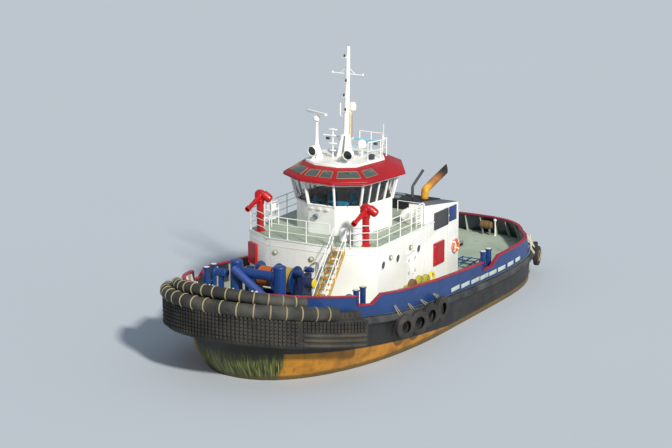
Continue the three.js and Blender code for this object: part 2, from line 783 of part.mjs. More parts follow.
function makeMonitorPost() {
  const pipe = rod([0, 0, BOAT_DECK_TOP + SEAT_GAP], [0, 0, MONITOR.postTop], 172, 14);
  const foot = rod([0, 0, BOAT_DECK_TOP + SEAT_GAP], [0, 0, BOAT_DECK_TOP + 60], 240, 14);
  const collar = rod([0, 0, MONITOR.postTop - 70], [0, 0, MONITOR.postTop], 205, 14);
  return join(pipe, foot, collar);
}

function makeMonitorHead() {
  const base = rod([0, 0, monitorAxis.z], [0, 0, monitorAxis.z + 90], 185, 14);
  const crown = box([-120, 150], [-330, -130], [monitorAxis.z + 40, 7060]);
  const bridge = box([-120, 120], [-330, 330], [monitorAxis.z + 30, monitorAxis.z + 80]);
  const cheek = box([-120, 150], [130, 330], [monitorAxis.z + 40, 7060]);
  const halfLoop = [[-60, 230, 6990], [-90, 240, 7130], [-120, 100, 7210]];
  const otherHalf = [...halfLoop].reverse().map(([x, y, z]) => [x, -y, z]);
  const loop = tube([...halfLoop, ...otherHalf], 105, 8, 10);
  return join(base, crown, bridge, cheek, loop);
}

// The barrel is stored pointing forward and down by the droop angle.
function makeMonitorBarrel() {
  const reach = 129.6;
  const pivot = rod([0, -reach, 0], [0, reach, 0], 90, 12);
  const barrel = rod([-20, 0, 0], [1050, 0, 0], 105, 12, 80);
  const nozzle = rod([1020, 0, 0], [1230, 0, 0], 80, 12, 125);
  return join(pivot, barrel, nozzle).rotate([0, MONITOR.droop, 0]).translate([TRUNNION.x, 0, TRUNNION.z]);
}

for (const [side, label] of [[1, "port"], [-1, "starboard"]]) {
  const stand = new THREE.Group();
  stand.position.set(MONITOR.x, side * MONITOR.y, 0);
  tug.add(stand);
  addPart(`monitor_post_${label}`, makeMonitorPost(), "red", stand);
  addPart(`monitor_head_${label}`, makeMonitorHead(), "red", stand);
  addPart(`monitor_barrel_${label}`, makeMonitorBarrel(), "red", stand);
}

// Wheelhouse: walls per facet group with their windows cut, leaning out above the sill.
// Its plan, grown outward by an offset, at a height.
function outward(offset, z) {
  const port = WHEELHOUSE_CORNERS;
  const both = [...port, ...[...port].reverse().map(([x, y]) => [x, -y])];
  return both.map(([x, y], k) => {
    const before = both[(k + both.length - 1) % both.length];
    const after = both[(k + 1) % both.length];
    const n1 = new THREE.Vector2(y - before[1], before[0] - x).normalize();
    const n2 = new THREE.Vector2(after[1] - y, x - after[0]).normalize();
    const mid = n1.clone().add(n2).normalize();
    const reach = offset / mid.dot(n1);
    return [x + mid.x * reach, y + mid.y * reach, z];
  });
}

function ringSolid(levels) {
  const count = levels[0].length;
  const positions = levels.flat();
  const triangles = [];
  for (let level = 0; level < levels.length - 1; level += 1) {
    for (let k = 0; k < count; k += 1) {
      const next = (k + 1) % count;
      const [a, b] = [level * count + k, level * count + next];
      triangles.push([a, b, b + count], [a, b + count, a + count]);
    }
  }
  const top = (levels.length - 1) * count;
  for (let k = 1; k < count - 1; k += 1) {
    triangles.push([0, k + 1, k], [top, top + k, top + k + 1]);
  }
  return meshFrom(positions, triangles);
}

// The wall's plan at a height, set back by a depth from its outer face.
function wallRing(depth, z) {
  return outward((WINDOW_LEAN * (z - SILL)) / (WINDOW_HEAD - SILL) - depth, z);
}

const wallBase = BOAT_DECK_TOP + SEAT_GAP;
const outerShell = ringSolid([outward(0, wallBase), outward(0, SILL), wallRing(0, WINDOW_HEAD)]);
const innerShell = ringSolid([
  outward(-WHEELHOUSE_WALL, wallBase - 10),
  outward(-WHEELHOUSE_WALL, SILL),
  wallRing(WHEELHOUSE_WALL, WINDOW_HEAD + 10),
]);
const wheelhouseShell = outerShell.subtract(innerShell);

// One window opening in the facet between two corners: a prism through the wall.
function windowCut(from, to, margin) {
  const low = SILL + 60;
  const high = WINDOW_HEAD - 60;
  const at = (corner, z, out) => wallRing(-out, z)[corner];
  const share = (a, b, t) => a.map((v, k) => v + (b[k] - v) * t);
  const corners = [];
  for (const out of [60, -WHEELHOUSE_WALL - 60]) {
    for (const z of [low, high]) {
      const a = at(from.corner, z, out);
      const b = at(to.corner, z, out);
      const length = Math.hypot(b[0] - a[0], b[1] - a[1]);
      const startShare = from.share + margin / length;
      const endShare = to.share - margin / length;
      corners.push(share(a, b, startShare), share(a, b, endShare));
    }
  }
  const faces = [
    [0, 1, 3], [0, 3, 2], [4, 7, 5], [4, 6, 7], [0, 5, 1], [0, 4, 5],
    [2, 3, 7], [2, 7, 6], [0, 2, 6], [0, 6, 4], [1, 5, 7], [1, 7, 3],
  ];
  return meshFrom(corners, faces);
}

// Facets by corner number round the wheelhouse, with the number of windows in each.
const FACETS = [
  // first corner, second corner, panes
  [0, 1, 1],
  [1, 2, 4],
  [2, 3, 2],
  [4, 5, 2],
  [5, 6, 4],
  [6, 7, 1],
  [7, 0, 1],
];
const WINDOW_MARGIN = 45;
const windowCuts = FACETS.flatMap(([first, second, panes]) => {
  const cuts = [];
  for (let k = 0; k < panes; k += 1) {
    const from = { corner: first, share: k / panes };
    const to = { corner: second, share: (k + 1) / panes };
    cuts.push(windowCut(from, to, WINDOW_MARGIN));
  }
  return cuts;
});
const WHEELHOUSE_DOOR = { half: 360, sill: BOAT_DECK_TOP + 380, height: 1900, x: -1500 };
const doorCut = box(
  [WHEELHOUSE_DOOR.x - 400, WHEELHOUSE_DOOR.x + 200],
  [-WHEELHOUSE_DOOR.half, WHEELHOUSE_DOOR.half],
  [WHEELHOUSE_DOOR.sill, WHEELHOUSE_DOOR.sill + WHEELHOUSE_DOOR.height],
);
const wheelhouseOpen = cut(wheelhouseShell, windowCuts, doorCut);

// The shell is split into a front, two sides and a back by vertical planes near the corners.
const SPLIT_FRONT = 2560;
const SPLIT_BACK = 60;
const HALF_GAP = 0.25;
const wide = [-6000, 6000];
const tall = [0, 10000];
const frontPiece = wheelhouseOpen.intersect(box([SPLIT_FRONT + HALF_GAP, wide[1]], wide, tall));
const backPiece = wheelhouseOpen.intersect(box([wide[0], SPLIT_BACK - HALF_GAP], wide, tall));
const sidePiece = (side) => {
  const ys = side > 0 ? [0, wide[1]] : [wide[0], 0];
  return wheelhouseOpen.intersect(box([SPLIT_BACK + HALF_GAP, SPLIT_FRONT - HALF_GAP], ys, tall));
};
addPart("wheelhouse_front", frontPiece, "white");
addPart("wheelhouse_port", sidePiece(1), "white");
addPart("wheelhouse_starboard", sidePiece(-1), "white");
addPart("wheelhouse_back", backPiece, "white");

// Glass stands just inside the frames, one ring of panes round the front and sides.
const glassThick = 12;
const glassFace = WHEELHOUSE_WALL + 0.6;
const glassOuter = ringSolid([wallRing(glassFace, SILL + 5), wallRing(glassFace, WINDOW_HEAD - 1)]);
const glassInner = ringSolid([
  wallRing(glassFace + glassThick, SILL - 5),
  wallRing(glassFace + glassThick, WINDOW_HEAD + 9),
]);
const doorReach = WHEELHOUSE_DOOR.half + 60;
const glassDoorGap = box([-3000, -1000], [-doorReach, doorReach], [6000, 9000]);
addPart("wheelhouse_glass", cut(glassOuter, glassInner, glassDoorGap), "glass");

// Floor, console and chairs, seen through the glass.
const floorRing = outward(-WHEELHOUSE_WALL - 1, 0).map(([x, y]) => [x, y]);
addPart("wheelhouse_floor", plate(floorRing, wallBase, WHEELHOUSE_FLOOR), "grey");
const floorTop = WHEELHOUSE_FLOOR + SEAT_GAP;

function makeConsole() {
  const desk = [[2480, 500], [2480, -500], [2950, -560], [2950, 560]];
  const wing = (side) => [[400, side * 1350], [1500, side * 1250], [1550, side * 1700], [450, side * 1880]];
  const foot = box([2500, 2900], [-450, 450], [floorTop, floorTop + 760]);
  const top = plate(desk, floorTop + 740, floorTop + 900);
  const arms = [1, -1].map((side) => {
    const outline = side > 0 ? wing(side) : wing(side).reverse();
    return join(
      plate(outline, floorTop, floorTop + 880),
      box([1400, 2700], side > 0 ? [420, 1500] : [-1500, -420], [floorTop + 780, floorTop + 830])
        .intersect(plate(outward(-200, 0).map(([x, y]) => [x, y]), 0, 9000)),
    );
  });
  return join(foot, top, arms);
}

function makeChair(y) {
  const column = rod([1500, y, floorTop], [1500, y, floorTop + 480], 70, 10);
  const foot = rod([1500, y, floorTop], [1500, y, floorTop + 30], 260, 12);
  const seat = box([1260, 1780], [y - 270, y + 270], [floorTop + 470, floorTop + 600]);
  const [low, high] = [floorTop + 560, floorTop + 1300];
  const back = slab([[1260, low], [1380, low], [1260, high], [1140, high]], y - 250, y + 250);
  return join(column, foot, seat, back);
}

addPart("console", makeConsole(), "grey");
const chairPlinth = box([1300, 1700], [-700, 700], [floorTop, floorTop + 25]);
addPart("helm_chairs", join(makeChair(560), makeChair(-560), chairPlinth), "fabric");

// Roof: a sloping ring over the windows with a raised platform on top.
function makeRoof() {
  const eaves = outward(ROOF_OVERHANG, ROOF_LOW);
  const rim = outward(ROOF_OVERHANG, ROOF_LOW + 130);
  const shoulder = outward(ROOF_INSET, ROOF_TOP);
  const solid = ringSolid([eaves, rim, shoulder]);
  const hollow = ringSolid([
    outward(WINDOW_LEAN - WHEELHOUSE_WALL - 40, ROOF_LOW - 10),
    outward(ROOF_INSET - 80, ROOF_TOP - 90),
  ]);
  const platform = plate(outward(ROOF_INSET - 60, 0).map(([x, y]) => [x, y]), ROOF_TOP - 40, ROOF_TOP + 130);
  return join(solid.subtract(hollow), platform);
}

addPart("wheelhouse_roof", makeRoof(), "red");
const doorLeaf = makeLeaf(2 * WHEELHOUSE_DOOR.half, WHEELHOUSE_DOOR.height, [150, 780]);
placeDoor("wheelhouse_door", doorLeaf, [WHEELHOUSE_DOOR.x, -WHEELHOUSE_DOOR.half, WHEELHOUSE_DOOR.sill], 90);

// Mast on the roof, with crosstree, yard and foot.
const ROOF_STAND = ROOF_TOP + 130 + SEAT_GAP;

function makeMast() {
  const foot = [1000, 0, ROOF_STAND];
  const head = [740, 0, 14120];
  const at = (z) => foot[0] + ((head[0] - foot[0]) * (z - foot[2])) / (head[2] - foot[2]);
  const pole = rod([foot[0], 0, foot[2] - 20], head, 140, 10, 60);
  const [low, high] = [ROOF_STAND, 9700];
  const footSide = [[700, low], [1450, low], [at(high) + 120, high], [at(high) - 120, high]];
  const footPlate = slab(footSide, -110, 110);
  const crosstree = rod([at(12740), -850, 12740], [at(12740), 850, 12740], 45, 8);
  const braces = [1, -1].map((side) => {
    return rod([at(12740), side * 700, 12740], [at(11900), side * 60, 11900], 30, 6);
  });
  const yard = rod([200, -1650, 9420], [200, 1650, 9420], 50, 8);
  const yardArm = box([180, at(9420)], [-40, 40], [9370, 9470]);
  const conduit = rod([at(9500) - 230, 0, 9500], [at(11600) - 230, 0, 11600], 55, 8);
  const conduitLegs = [9650, 11450].map((z) => box([at(z) - 240, at(z)], [-25, 25], [z - 30, z + 30]));
  const shelf = box([at(11100) - 520, at(11100)], [-60, 60], [10980, 11040]);
  const domeProfile = [[0, 0], [190, 0], [230, 120], [200, 330], [0, 420]];
  const dome = turned(domeProfile, 14).translate([at(11100) - 430, 0, 11035]);
  const platform = box([at(13300) - 120, at(13300) + 200], [-150, 150], [13280, 13320]);
  const above = box([-3000, 3000], [-3000, 3000], [ROOF_STAND, 20000]);
  const rigging = join(crosstree, braces, yard, yardArm, conduit, conduitLegs, shelf, dome, platform);
  return join(pole, footPlate, rigging).intersect(above);
}

addPart("mast", makeMast(), "white");

// Radar post with its turning scanner bar, and the two searchlights on the roof.
const RADAR = { x: 2120, y: -1000, top: 10760, bar: 1500, turn: 67 };
const radarBase = ROOF_STAND;

function makeRadarPost() {
  const { x, y, top } = RADAR;
  const post = rod([x, y, radarBase], [x, y, top - 180], 75, 10, 60);
  const high = radarBase + 900;
  const footSide = [[x - 160, radarBase], [x + 160, radarBase], [x + 70, high], [x - 70, high]];
  const foot = slab(footSide, y - 70, y + 70);
  const gearbox = box([x - 190, x + 190], [y - 170, y + 170], [top - 200, top]);
  return join(post, foot, gearbox);
}

function makeScanner() {
  const hub = rod([0, 0, RADAR.top + 0.5], [0, 0, RADAR.top + 140], 70, 10);
  const bar = box([-RADAR.bar / 2, RADAR.bar / 2], [-70, 70], [RADAR.top + 120, RADAR.top + 230]);
  return join(hub, bar).rotate([0, 0, RADAR.turn]);
}

addPart("radar_post", makeRadarPost(), "white");
const scanner = addPart("radar_scanner", makeScanner(), "white");
scanner.position.set(RADAR.x, RADAR.y, 0);

// Railing round the aft part of the roof.
const ROOF_RAILING = [[1350, 1450], [500, 1700], [-150, 1680], [-1000, 1000], [-1000, 350], [-1000, -300]];
addPart("roof_railing", makeRailing(ROOF_RAILING, ROOF_STAND, 900, 2), "white");

// Towing winch on the foredeck, with its drum on a cross shaft.
function makeWinchFrame() {
  const { x, z } = WINCH;
  const cheeks = [[-1310, -1150], [1150, 1310]].map(([low, high]) => {
    return slab([[x - 800, 2000], [x + 800, 2000], [x + 260, z + 260], [x - 260, z + 260]], low, high);
  });
  const base = box([x - 800, x + 800], [-1500, 1620], [2200, 2960]);
  const gear = box([x - 420, x + 420], [1300, 1600], [2900, z + 350]);
  const motor = rod([x + 60, 1590, z], [x + 60, 1950, z], 240, 12);
  const brake = rod([x, -1700, z + 60], [x, -1300, z + 60], 330, 14);
  const beam = box([x - 790, x - 640], [-1300, 1300], [2900, 3120]);
  return standOnDeck(join(cheeks, base, gear, motor, brake, beam));
}

function makeWinchDrum() {
  const reach = 1149.5;
  const shaft = rod([0, -reach, 0], [0, reach, 0], 110, 12);
  const core = rod([0, -1050, 0], [0, 1050, 0], 330, 16);
  const flanges = [-1050, -40, 980].map((y) => rod([0, y, 0], [0, y + 70, 0], 700, 20));
  return join(shaft, core, flanges);
}

addPart("winch_frame", makeWinchFrame(), "blue");
const drum = addPart("winch_drum", makeWinchDrum(), "blue");
drum.position.set(WINCH.x, 0, WINCH.z);

// Towing staple at the bow: two posts, a cross bar and a slanted brace.
function makeStaple() {
  const { x, y, top, radius } = STAPLE;
  const posts = [1, -1].map((side) => rod([x, side * y, 2500], [x, side * y, top], radius, 14));
  const bar = rod([x, -y, top - 560], [x, y, top - 560], radius - 60, 12);
  const brace = rod([x + 330, -y, top - 330], [x + 330, 700, 3500], 190, 10);
  const lugs = box([x, x + 330], [-y - 60, -y + 60], [top - 420, top - 240]);
  const knee = box([x, x + 330], [560, 760], [3420, 3560]);
  const kneePost = box([x - 60, x + 60], [560, y], [3420, 3560]);
  return standOnDeck(join(posts, bar, brace, lugs, knee, kneePost));
}

addPart("towing_staple", makeStaple(), "blue");

// Double bitts by the dips in the bulwark.
function makeBitts(x, y, top) {
  const deck = deckHeight(x);
  const posts = [-330, 330].map((step) => join(
    rod([x + step, y, deck - 200], [x + step, y, top], 140, 12),
    rod([x + step, y, top - 60], [x + step, y, top], 175, 12),
  ));
  const base = box([x - 560, x + 560], [y - 190, y + 190], [deck - 300, deck + 160]);
  const bar = rod([x - 330, y, top - 420], [x + 330, y, top - 420], 80, 10);
  return standOnDeck(join(posts, base, bar));
}

const BITTS = [
  // label, x, distance off the centreline, top
  ["fore", 7050, 4150, 3900],
  ["aft", -5750, 4550, 2900],
];
for (const [label, x, y, top] of BITTS) {
  addPart(`bitts_${label}_port`, makeBitts(x, y, top), "blue");
  addPart(`bitts_${label}_starboard`, makeBitts(x, -y, top), "blue");
}

function makeHatchLid() {
  const { fore, aft, half, coaming } = HATCH;
  const base = deckHeight(aft) + coaming + SEAT_GAP;
  return box([aft - 30, fore + 30], [-half - 30, half + 30], [base, base + 70]);
}

addPart("hatch_lid", makeHatchLid(), "grey");

// Steerable thrusters: a leg and pod with a nozzle, and a propeller that turns inside it.
const POD_END = 600;

function makeThruster() {
  const { flange, shaft } = THRUSTER;
  const { inner: nozzleIn, outer: nozzleOut } = NOZZLE;
  const plateDisc = rod([0, 0, flange - 90], [0, 0, flange - SEAT_GAP], 820, 20);
  const leg = rod([0, 0, shaft], [0, 0, flange - 80], 330, 14, 430);
  const podNose = [[0, -700], [260, -560], [380, -250]];
  const podProfile = [...podNose, [390, 300], [330, 520], [250, POD_END], [0, POD_END]];
  const pod = turned(podProfile, 16, "x").rotate([0, 0, 180]).translate([0, 0, shaft]);
  const nozzleProfile = [
    [nozzleIn, 380],
    [nozzleIn + 40, 380],
    [nozzleOut, 520],
    [nozzleOut - 50, 1180],
    [nozzleIn + 20, 1260],
    [nozzleIn, 1150],
    [nozzleIn, 380],
  ];
  const nozzle = turned(nozzleProfile, 22, "x").rotate([0, 0, 180]).translate([0, 0, shaft]);
  const struts = [45, 135, 225, 315].map((angle) => {
    const arm = box([-520, -400], [-40, 40], [250, nozzleIn + 60]);
    return arm.rotate([angle, 0, 0]).translate([0, 0, shaft]);
  });
  const bracket = box([-470, 0], [-60, 60], [shaft + 900, flange - 200]);
  return join(plateDisc, leg, pod, nozzle, struts, bracket);
}

function makePropeller() {
  const front = POD_END + 0.5;
  const halfThick = 22;
  const hubProfile = [[0, front], [240, front], [230, 950], [120, 1080], [0, 1110]];
  const hub = turned(hubProfile, 14, "x").rotate([0, 0, 180]);
  const blades = [];
  for (let k = 0; k < 4; k += 1) {
    const root = box([-170, 170], [-halfThick, halfThick], [180, BLADE_TIP]);
    const face = rod([0, -halfThick, BLADE_TIP - 300], [0, halfThick, BLADE_TIP - 300], 300, 14);
    blades.push(join(root, face).rotate([0, 0, 38]).translate([-790, 0, 0]).rotate([k * 90, 0, 0]));
  }
  return join(hub, blades);
}

for (const [side, label] of [[1, "port"], [-1, "starboard"]]) {
  const pod = addPart(`thruster_${label}`, makeThruster(), "black");
  pod.position.set(THRUSTER.x, side * THRUSTER.y, 0);
  const propeller = addPart(`propeller_${label}`, makePropeller(), "bronze");
  propeller.position.set(THRUSTER.x, side * THRUSTER.y, THRUSTER.shaft);
}

export default tug;
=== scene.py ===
"""Harbour tugboat afloat: camera, soft light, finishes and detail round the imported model."""
import logging
import math
from contextlib import contextmanager
from dataclasses import dataclass
from enum import Enum
from typing import Any, Iterable, Iterator, Sequence

import bpy
from mathutils import Matrix, Vector


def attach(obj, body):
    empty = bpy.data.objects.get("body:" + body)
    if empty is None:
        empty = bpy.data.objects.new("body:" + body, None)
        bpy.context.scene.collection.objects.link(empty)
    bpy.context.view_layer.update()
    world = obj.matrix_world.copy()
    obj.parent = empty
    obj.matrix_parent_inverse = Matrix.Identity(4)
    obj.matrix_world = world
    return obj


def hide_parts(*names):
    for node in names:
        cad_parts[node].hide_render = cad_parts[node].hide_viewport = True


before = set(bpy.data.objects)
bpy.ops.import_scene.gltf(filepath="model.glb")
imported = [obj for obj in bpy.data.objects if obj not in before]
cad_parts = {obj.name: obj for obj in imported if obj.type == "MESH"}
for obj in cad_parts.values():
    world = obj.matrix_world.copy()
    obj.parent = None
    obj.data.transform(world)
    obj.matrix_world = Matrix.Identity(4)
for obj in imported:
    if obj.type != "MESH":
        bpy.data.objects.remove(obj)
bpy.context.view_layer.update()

log = logging.getLogger("tugboat")

Point = Sequence[float]
Object = bpy.types.Object
Material = bpy.types.Material

BOAT = "boat"
# Towards the bow, to port, and up
AHEAD, ACROSS, UP = (1, 0, 0), (0, 1, 0), (0, 0, 1)
# Heights of the boat deck and of the wheelhouse roof's flat top
BOAT_DECK, ROOF = 5.18, 8.63
# Greatest angle between faces that is shaded smooth, in degrees
SMOOTH_ANGLE = 26.0
# Stretches of noise along X, Y and Z: none, and drawn out downward as dirt runs on a wall
EVEN, RUNS = (1, 1, 1), (2.6, 2.6, 0.22)


class Side(Enum):
    """A side of the boat, by its sign along Y: port first."""

    PORT = 1
    STARBOARD = -1

    @property
    def word(self) -> str:
        """The side's word in names."""
        return self.name.lower()


def colour(code: str) -> tuple[float, ...]:
    """A colour as Blender's nodes take it.

    Args:
        code: Six hexadecimal digits, as on a screen.

    Returns:
        Linear red, green and blue, and full alpha.
    """
    parts = [int(code[k:k + 2], 16) / 255 for k in (0, 2, 4)]
    linear = [part / 12.92 if part <= 0.04045 else ((part + 0.055) / 1.055) ** 2.4 for part in parts]
    return (*linear, 1.0)


# Shader maths


class Channel:
    """A node's output that can be added, multiplied and so on in plain expressions."""

    def __init__(self, recipe: "Recipe", socket: bpy.types.NodeSocket) -> None:
        """Keeps the recipe that new nodes go to, and the socket."""
        self.recipe = recipe
        self.socket = socket

    def maths(self, operation: str, first: Any, second: Any = 0.0) -> "Channel":
        """One Math node's result."""
        return self.recipe.node("ShaderNodeMath", {"operation": operation}, {0: first, 1: second})

    def __add__(self, other: Any) -> "Channel":
        """This plus another."""
        return self.maths("ADD", self, other)

    def __sub__(self, other: Any) -> "Channel":
        """This less another."""
        return self.maths("SUBTRACT", self, other)

    def __mul__(self, other: Any) -> "Channel":
        """This times another."""
        return self.maths("MULTIPLY", self, other)

    def __abs__(self) -> "Channel":
        """The size of this, without its sign."""
        return self.maths("ABSOLUTE", self)

    def step(self, low: float, high: float) -> "Channel":
        """Rises smoothly from 0 at low to 1 at high, or falls where high is the lower one.

        Args:
            low: Where the result is 0.
            high: Where the result is 1.

        Returns:
            The mask.
        """
        ends = (low, high, 0.0, 1.0) if low < high else (high, low, 1.0, 0.0)
        settings = {"interpolation_type": "SMOOTHSTEP", "clamp": True}
        return self.recipe.node("ShaderNodeMapRange", settings, dict(enumerate((self, *ends))))

    def wave(self, period: float, sharp: float) -> "Channel":
        """Thin marks that repeat along this channel.

        Args:
            period: Distance between marks.
            sharp: Half width of a mark, as a share of the period.

        Returns:
            1 on the marks and 0 between them.
        """
        off = abs(self.maths("FRACT", self * (1 / period)) - 0.5)
        return off.step(0.5 - sharp * 1.5, 0.5 - sharp * 0.5)


class Recipe:
    """Node tree of one material with a Principled shader."""

    def __init__(self, name: str) -> None:
        """Starts an empty node material of that name.

        Args:
            name: The material's name.
        """
        self.material = bpy.data.materials.new(name)
        self.material.use_nodes = True
        self.tree = self.material.node_tree
        self.tree.nodes.clear()
        self.shader = self.tree.nodes.new("ShaderNodeBsdfPrincipled")
        output = self.tree.nodes.new("ShaderNodeOutputMaterial")
        self.tree.links.new(self.shader.outputs[0], output.inputs["Surface"])
        self.spot = self.node("ShaderNodeTexCoord", out="Object")

    def node(self, kind: str, settings: dict | None = None, values: dict | None = None,
             out: Any = 0) -> Channel:
        """Adds a node.

        Args:
            kind: The node's type.
            settings: Its properties, set first.
            values: Numbers, colours or channels for its inputs.
            out: Which output is wanted.

        Returns:
            That output.
        """
        made = self.tree.nodes.new(kind)
        for key, value in (settings or {}).items():
            setattr(made, key, value)
        self.fill(made, values or {})
        return Channel(self, made.outputs[out])

    def fill(self, made: bpy.types.Node, values: dict) -> None:
        """Sets or links a node's inputs.

        Args:
            made: The node.
            values: Numbers, colour codes or channels by input.
        """
        for key, value in values.items():
            if isinstance(value, Channel):
                self.tree.links.new(value.socket, made.inputs[key])
            else:
                made.inputs[key].default_value = colour(value) if isinstance(value, str) else value

    def axis(self, name: str, source: Channel | None = None) -> Channel:
        """X, Y or Z of the surface point in metres, or of another vector."""
        return self.node("ShaderNodeSeparateXYZ", values={0: source or self.spot}, out=name)

    def facing(self) -> Channel:
        """The way that the surface faces."""
        return self.node("ShaderNodeTexCoord", out="Normal")

    def noise(self, scale: float, detail: float = 3.0, stretch: Point = EVEN) -> Channel:
        """Cloudy noise from 0 to 1.

        Args:
            scale: Clouds per metre.
            detail: How many finer layers it has.
            stretch: Scale along X, Y and Z.

        Returns:
            The noise.
        """
        where = self.spot
        if stretch != EVEN:
            where = self.node("ShaderNodeMapping", values={"Vector": self.spot, "Scale": stretch})
        return self.node("ShaderNodeTexNoise", values={"Vector": where, "Scale": scale, "Detail": detail})

    def mix(self, share: Any, first: Any, second: Any) -> Channel:
        """Mixes two colours: share 0 gives the first and 1 the second."""
        settings = {"data_type": "RGBA", "clamp_factor": True}
        return self.node("ShaderNodeMix", settings, {0: share, 6: first, 7: second}, out=2)

    def layers(self, tint: Any, *rows: tuple) -> Any:
        """Lays clouds of other colours over a colour.

        Args:
            tint: The colour below.
            rows: For each cloud its colour, scale, detail, where it starts, where it is full and, where they
                aren't 1, its share and its stretch.

        Returns:
            The colour.
        """
        for code, scale, detail, low, high, *more in rows:
            share, stretch = (*more, EVEN)[:2] if more else (1.0, EVEN)
            tint = self.mix(self.noise(scale, detail, stretch).step(low, high) * share, tint, code)
        return tint

    def bump(self, height: Channel, distance: float) -> Channel:
        """A normal that follows a height in metres times distance."""
        return self.node("ShaderNodeBump", values={"Height": height, "Distance": distance, "Strength": 1.0})


# Finishes


@dataclass(frozen=True)
class Finish:
    """A finish: its material's name and the slot that it fills."""

    name: str
    slot: str

    def make(self) -> Material:
        """Builds the material.

        Returns:
            The material.
        """
        recipe = Recipe(self.name)
        recipe.fill(recipe.shader, self.inputs(recipe))
        return recipe.material

    def inputs(self, recipe: Recipe) -> dict:
        """The shader's values, by input."""
        return {}


@dataclass(frozen=True)
class Coating(Finish):
    """Paint, rope or metal with broad patches, runs of dirt, wear and a fine grain."""

    base: str
    shade: str
    dirt: str
    roughness: float
    metallic: float = 0.0
    patches: float = 0.5
    runs: float = 0.3
    spots: float = 0.15
    grain: float = 40.0
    relief: float = 0.0006
    coat: float = 0.0

    def inputs(self, recipe: Recipe) -> dict:
        """The coating's colour, sheen and grain.

        Args:
            recipe: The material's nodes.

        Returns:
            The shader's values, by input.
        """
        tint = recipe.layers(
            self.base,
            (self.shade, 0.55, 4.0, 0.32, 0.72, self.patches),
            (self.dirt, 1.0, 4.0, 0.56, 0.8, self.runs, RUNS),
            (self.dirt, 7.0, 5.0, 0.63, 0.74, self.spots),
        )
        return {
            "Base Color": tint,
            "Roughness": recipe.noise(3.0) * 0.22 + (self.roughness - 0.11),
            "Metallic": self.metallic,
            "Coat Weight": self.coat,
            "Normal": recipe.bump(recipe.noise(self.grain, 2.0), self.relief),
        }


# Name, slot, base, shade, dirt, roughness, then what isn't usual
WHITE = Coating("white_paint", "white_paint", "f8f7f2", "e9e7de", "a8977a", 0.42, runs=0.16, spots=0.10,
                grain=18, relief=0.0008, coat=0.15)
# A darker copy of the white paint with heavier runs of dirt; its darker tone is painted shade for small white
# fittings.
SHADE_WHITE = Coating("shaded_white", "white_paint", "e4e0d2", "c9c2ad", "8c7a58", 0.55, patches=0.7,
                      runs=0.35)
RAIL_WHITE = Coating("rail_white", "white_paint", "f4f3ee", "dfded6", "a89878", 0.4, patches=0.4, runs=0.15,
                     spots=0.1)
CREAM = Coating("cream_plastic", "white_paint", "e8dfb4", "d3c691", "8d7f54", 0.45, patches=0.6)
TAN = Coating("tan_frame", "white_paint", "a08f6a", "7d6d4c", "4b3d2a", 0.5, patches=0.6)
PLATE = Coating("worn_plate", "white_paint", "c3cabf", "a3ada6", "6c6a58", 0.5, patches=0.8, runs=0.4,
                spots=0.3)
RED = Coating("red_paint", "red_paint", "b9070c", "930910", "4c1214", 0.38, patches=0.7, coat=0.2)
RAIL_PAINT = Coating("rail_red", "red_paint", "a31430", "7d1433", "40141f", 0.45, patches=0.8, runs=0.1,
                     spots=0.35)
ORANGE = Coating("orange_paint", "red_paint", "e9661c", "cc4d15", "6d3818", 0.5, patches=0.4, runs=0.1)
BOTTOM = Coating("bottom_red", "red_paint", "7a2320", "5c1e1c", "4a4a33", 0.6, patches=0.7, spots=0.5)
GEAR_BLUE = Coating("gear_blue", "blue_paint", "123a78", "0e2a58", "1c2430", 0.42, patches=0.7, runs=0.35,
                    spots=0.25, coat=0.2)
DARK_BLUE = Coating("dark_blue", "blue_paint", "202e58", "161f3f", "0f1218", 0.5, patches=0.7, runs=0.35)
PALE_BLUE = Coating("pale_blue", "blue_paint", "30488a", "243a70", "222c4c", 0.45, patches=0.6)
SKY = Coating("sky_blue", "blue_paint", "7fc3de", "5fa9cc", "4b6a78", 0.5, runs=0.2)
BLACK = Coating("black_paint", "black_paint", "1b1c1f", "2b2a29", "4a4238", 0.55, patches=0.6)
GREY = Coating("grey_paint", "grey_paint", "7c858b", "687176", "4f4a40", 0.55, patches=0.6, runs=0.25)
DARK_GREY = Coating("dark_grey", "grey_paint", "45484a", "363a3d", "2a2723", 0.6, patches=0.6, runs=0.25)
UNIT = Coating("screen_grey", "grey_paint", "3b3f43", "2b2e31", "1c1d1f", 0.5, patches=0.4, runs=0.05)
STEEL = Coating("bare_steel", "grey_paint", "b3b6b5", "8b8f90", "5e5246", 0.35, metallic=0.85)
BRONZE = Coating("propeller_bronze", "propeller_bronze", "b48a45", "8b6a34", "3f4a3a", 0.32, metallic=0.9,
                 patches=0.7, runs=0.2)
OCHRE = Coating("ochre_paint", "ochre_paint", "cfa233", "a37c28", "6a4c20", 0.5, patches=0.6)
YELLOW = Coating("yellow_paint", "ochre_paint", "ecd21f", "cfae1d", "74601c", 0.5, runs=0.2)
LAMP = Coating("lamp_glass", "ochre_paint", "e9e29a", "d0c766", "8e8547", 0.2, patches=0.4, runs=0.05,
               coat=0.5)
HOSE = Coating("hose", "ochre_paint", "b3ab3e", "8a8338", "4c4526", 0.8, patches=0.8, spots=0.4)
HOSE_DARK = Coating("brown_hose", "ochre_paint", "84663a", "66502e", "3d3020", 0.8, patches=0.8, spots=0.4)
STAY_PAINT = Coating("stay_grey", "deck_paint", "bcc6b2", "9aa796", "6d6a50", 0.6, patches=0.6)
LENS = Coating("dark_lens", "clear_glass", "20262a", "10161a", "33393a", 0.12, patches=0.4, runs=0.05,
               coat=0.6)
SEAT = Coating("seat_cloth", "seat_fabric", "22a6dd", "178bc0", "12384c", 0.85, patches=0.4, spots=0.2,
               grain=160, relief=0.0015)
ROPE_WHITE = Coating("white_rope", "white_paint", "ded8c4", "c2b898", "80745a", 0.85, patches=0.7, spots=0.4,
                     grain=90, relief=0.004)
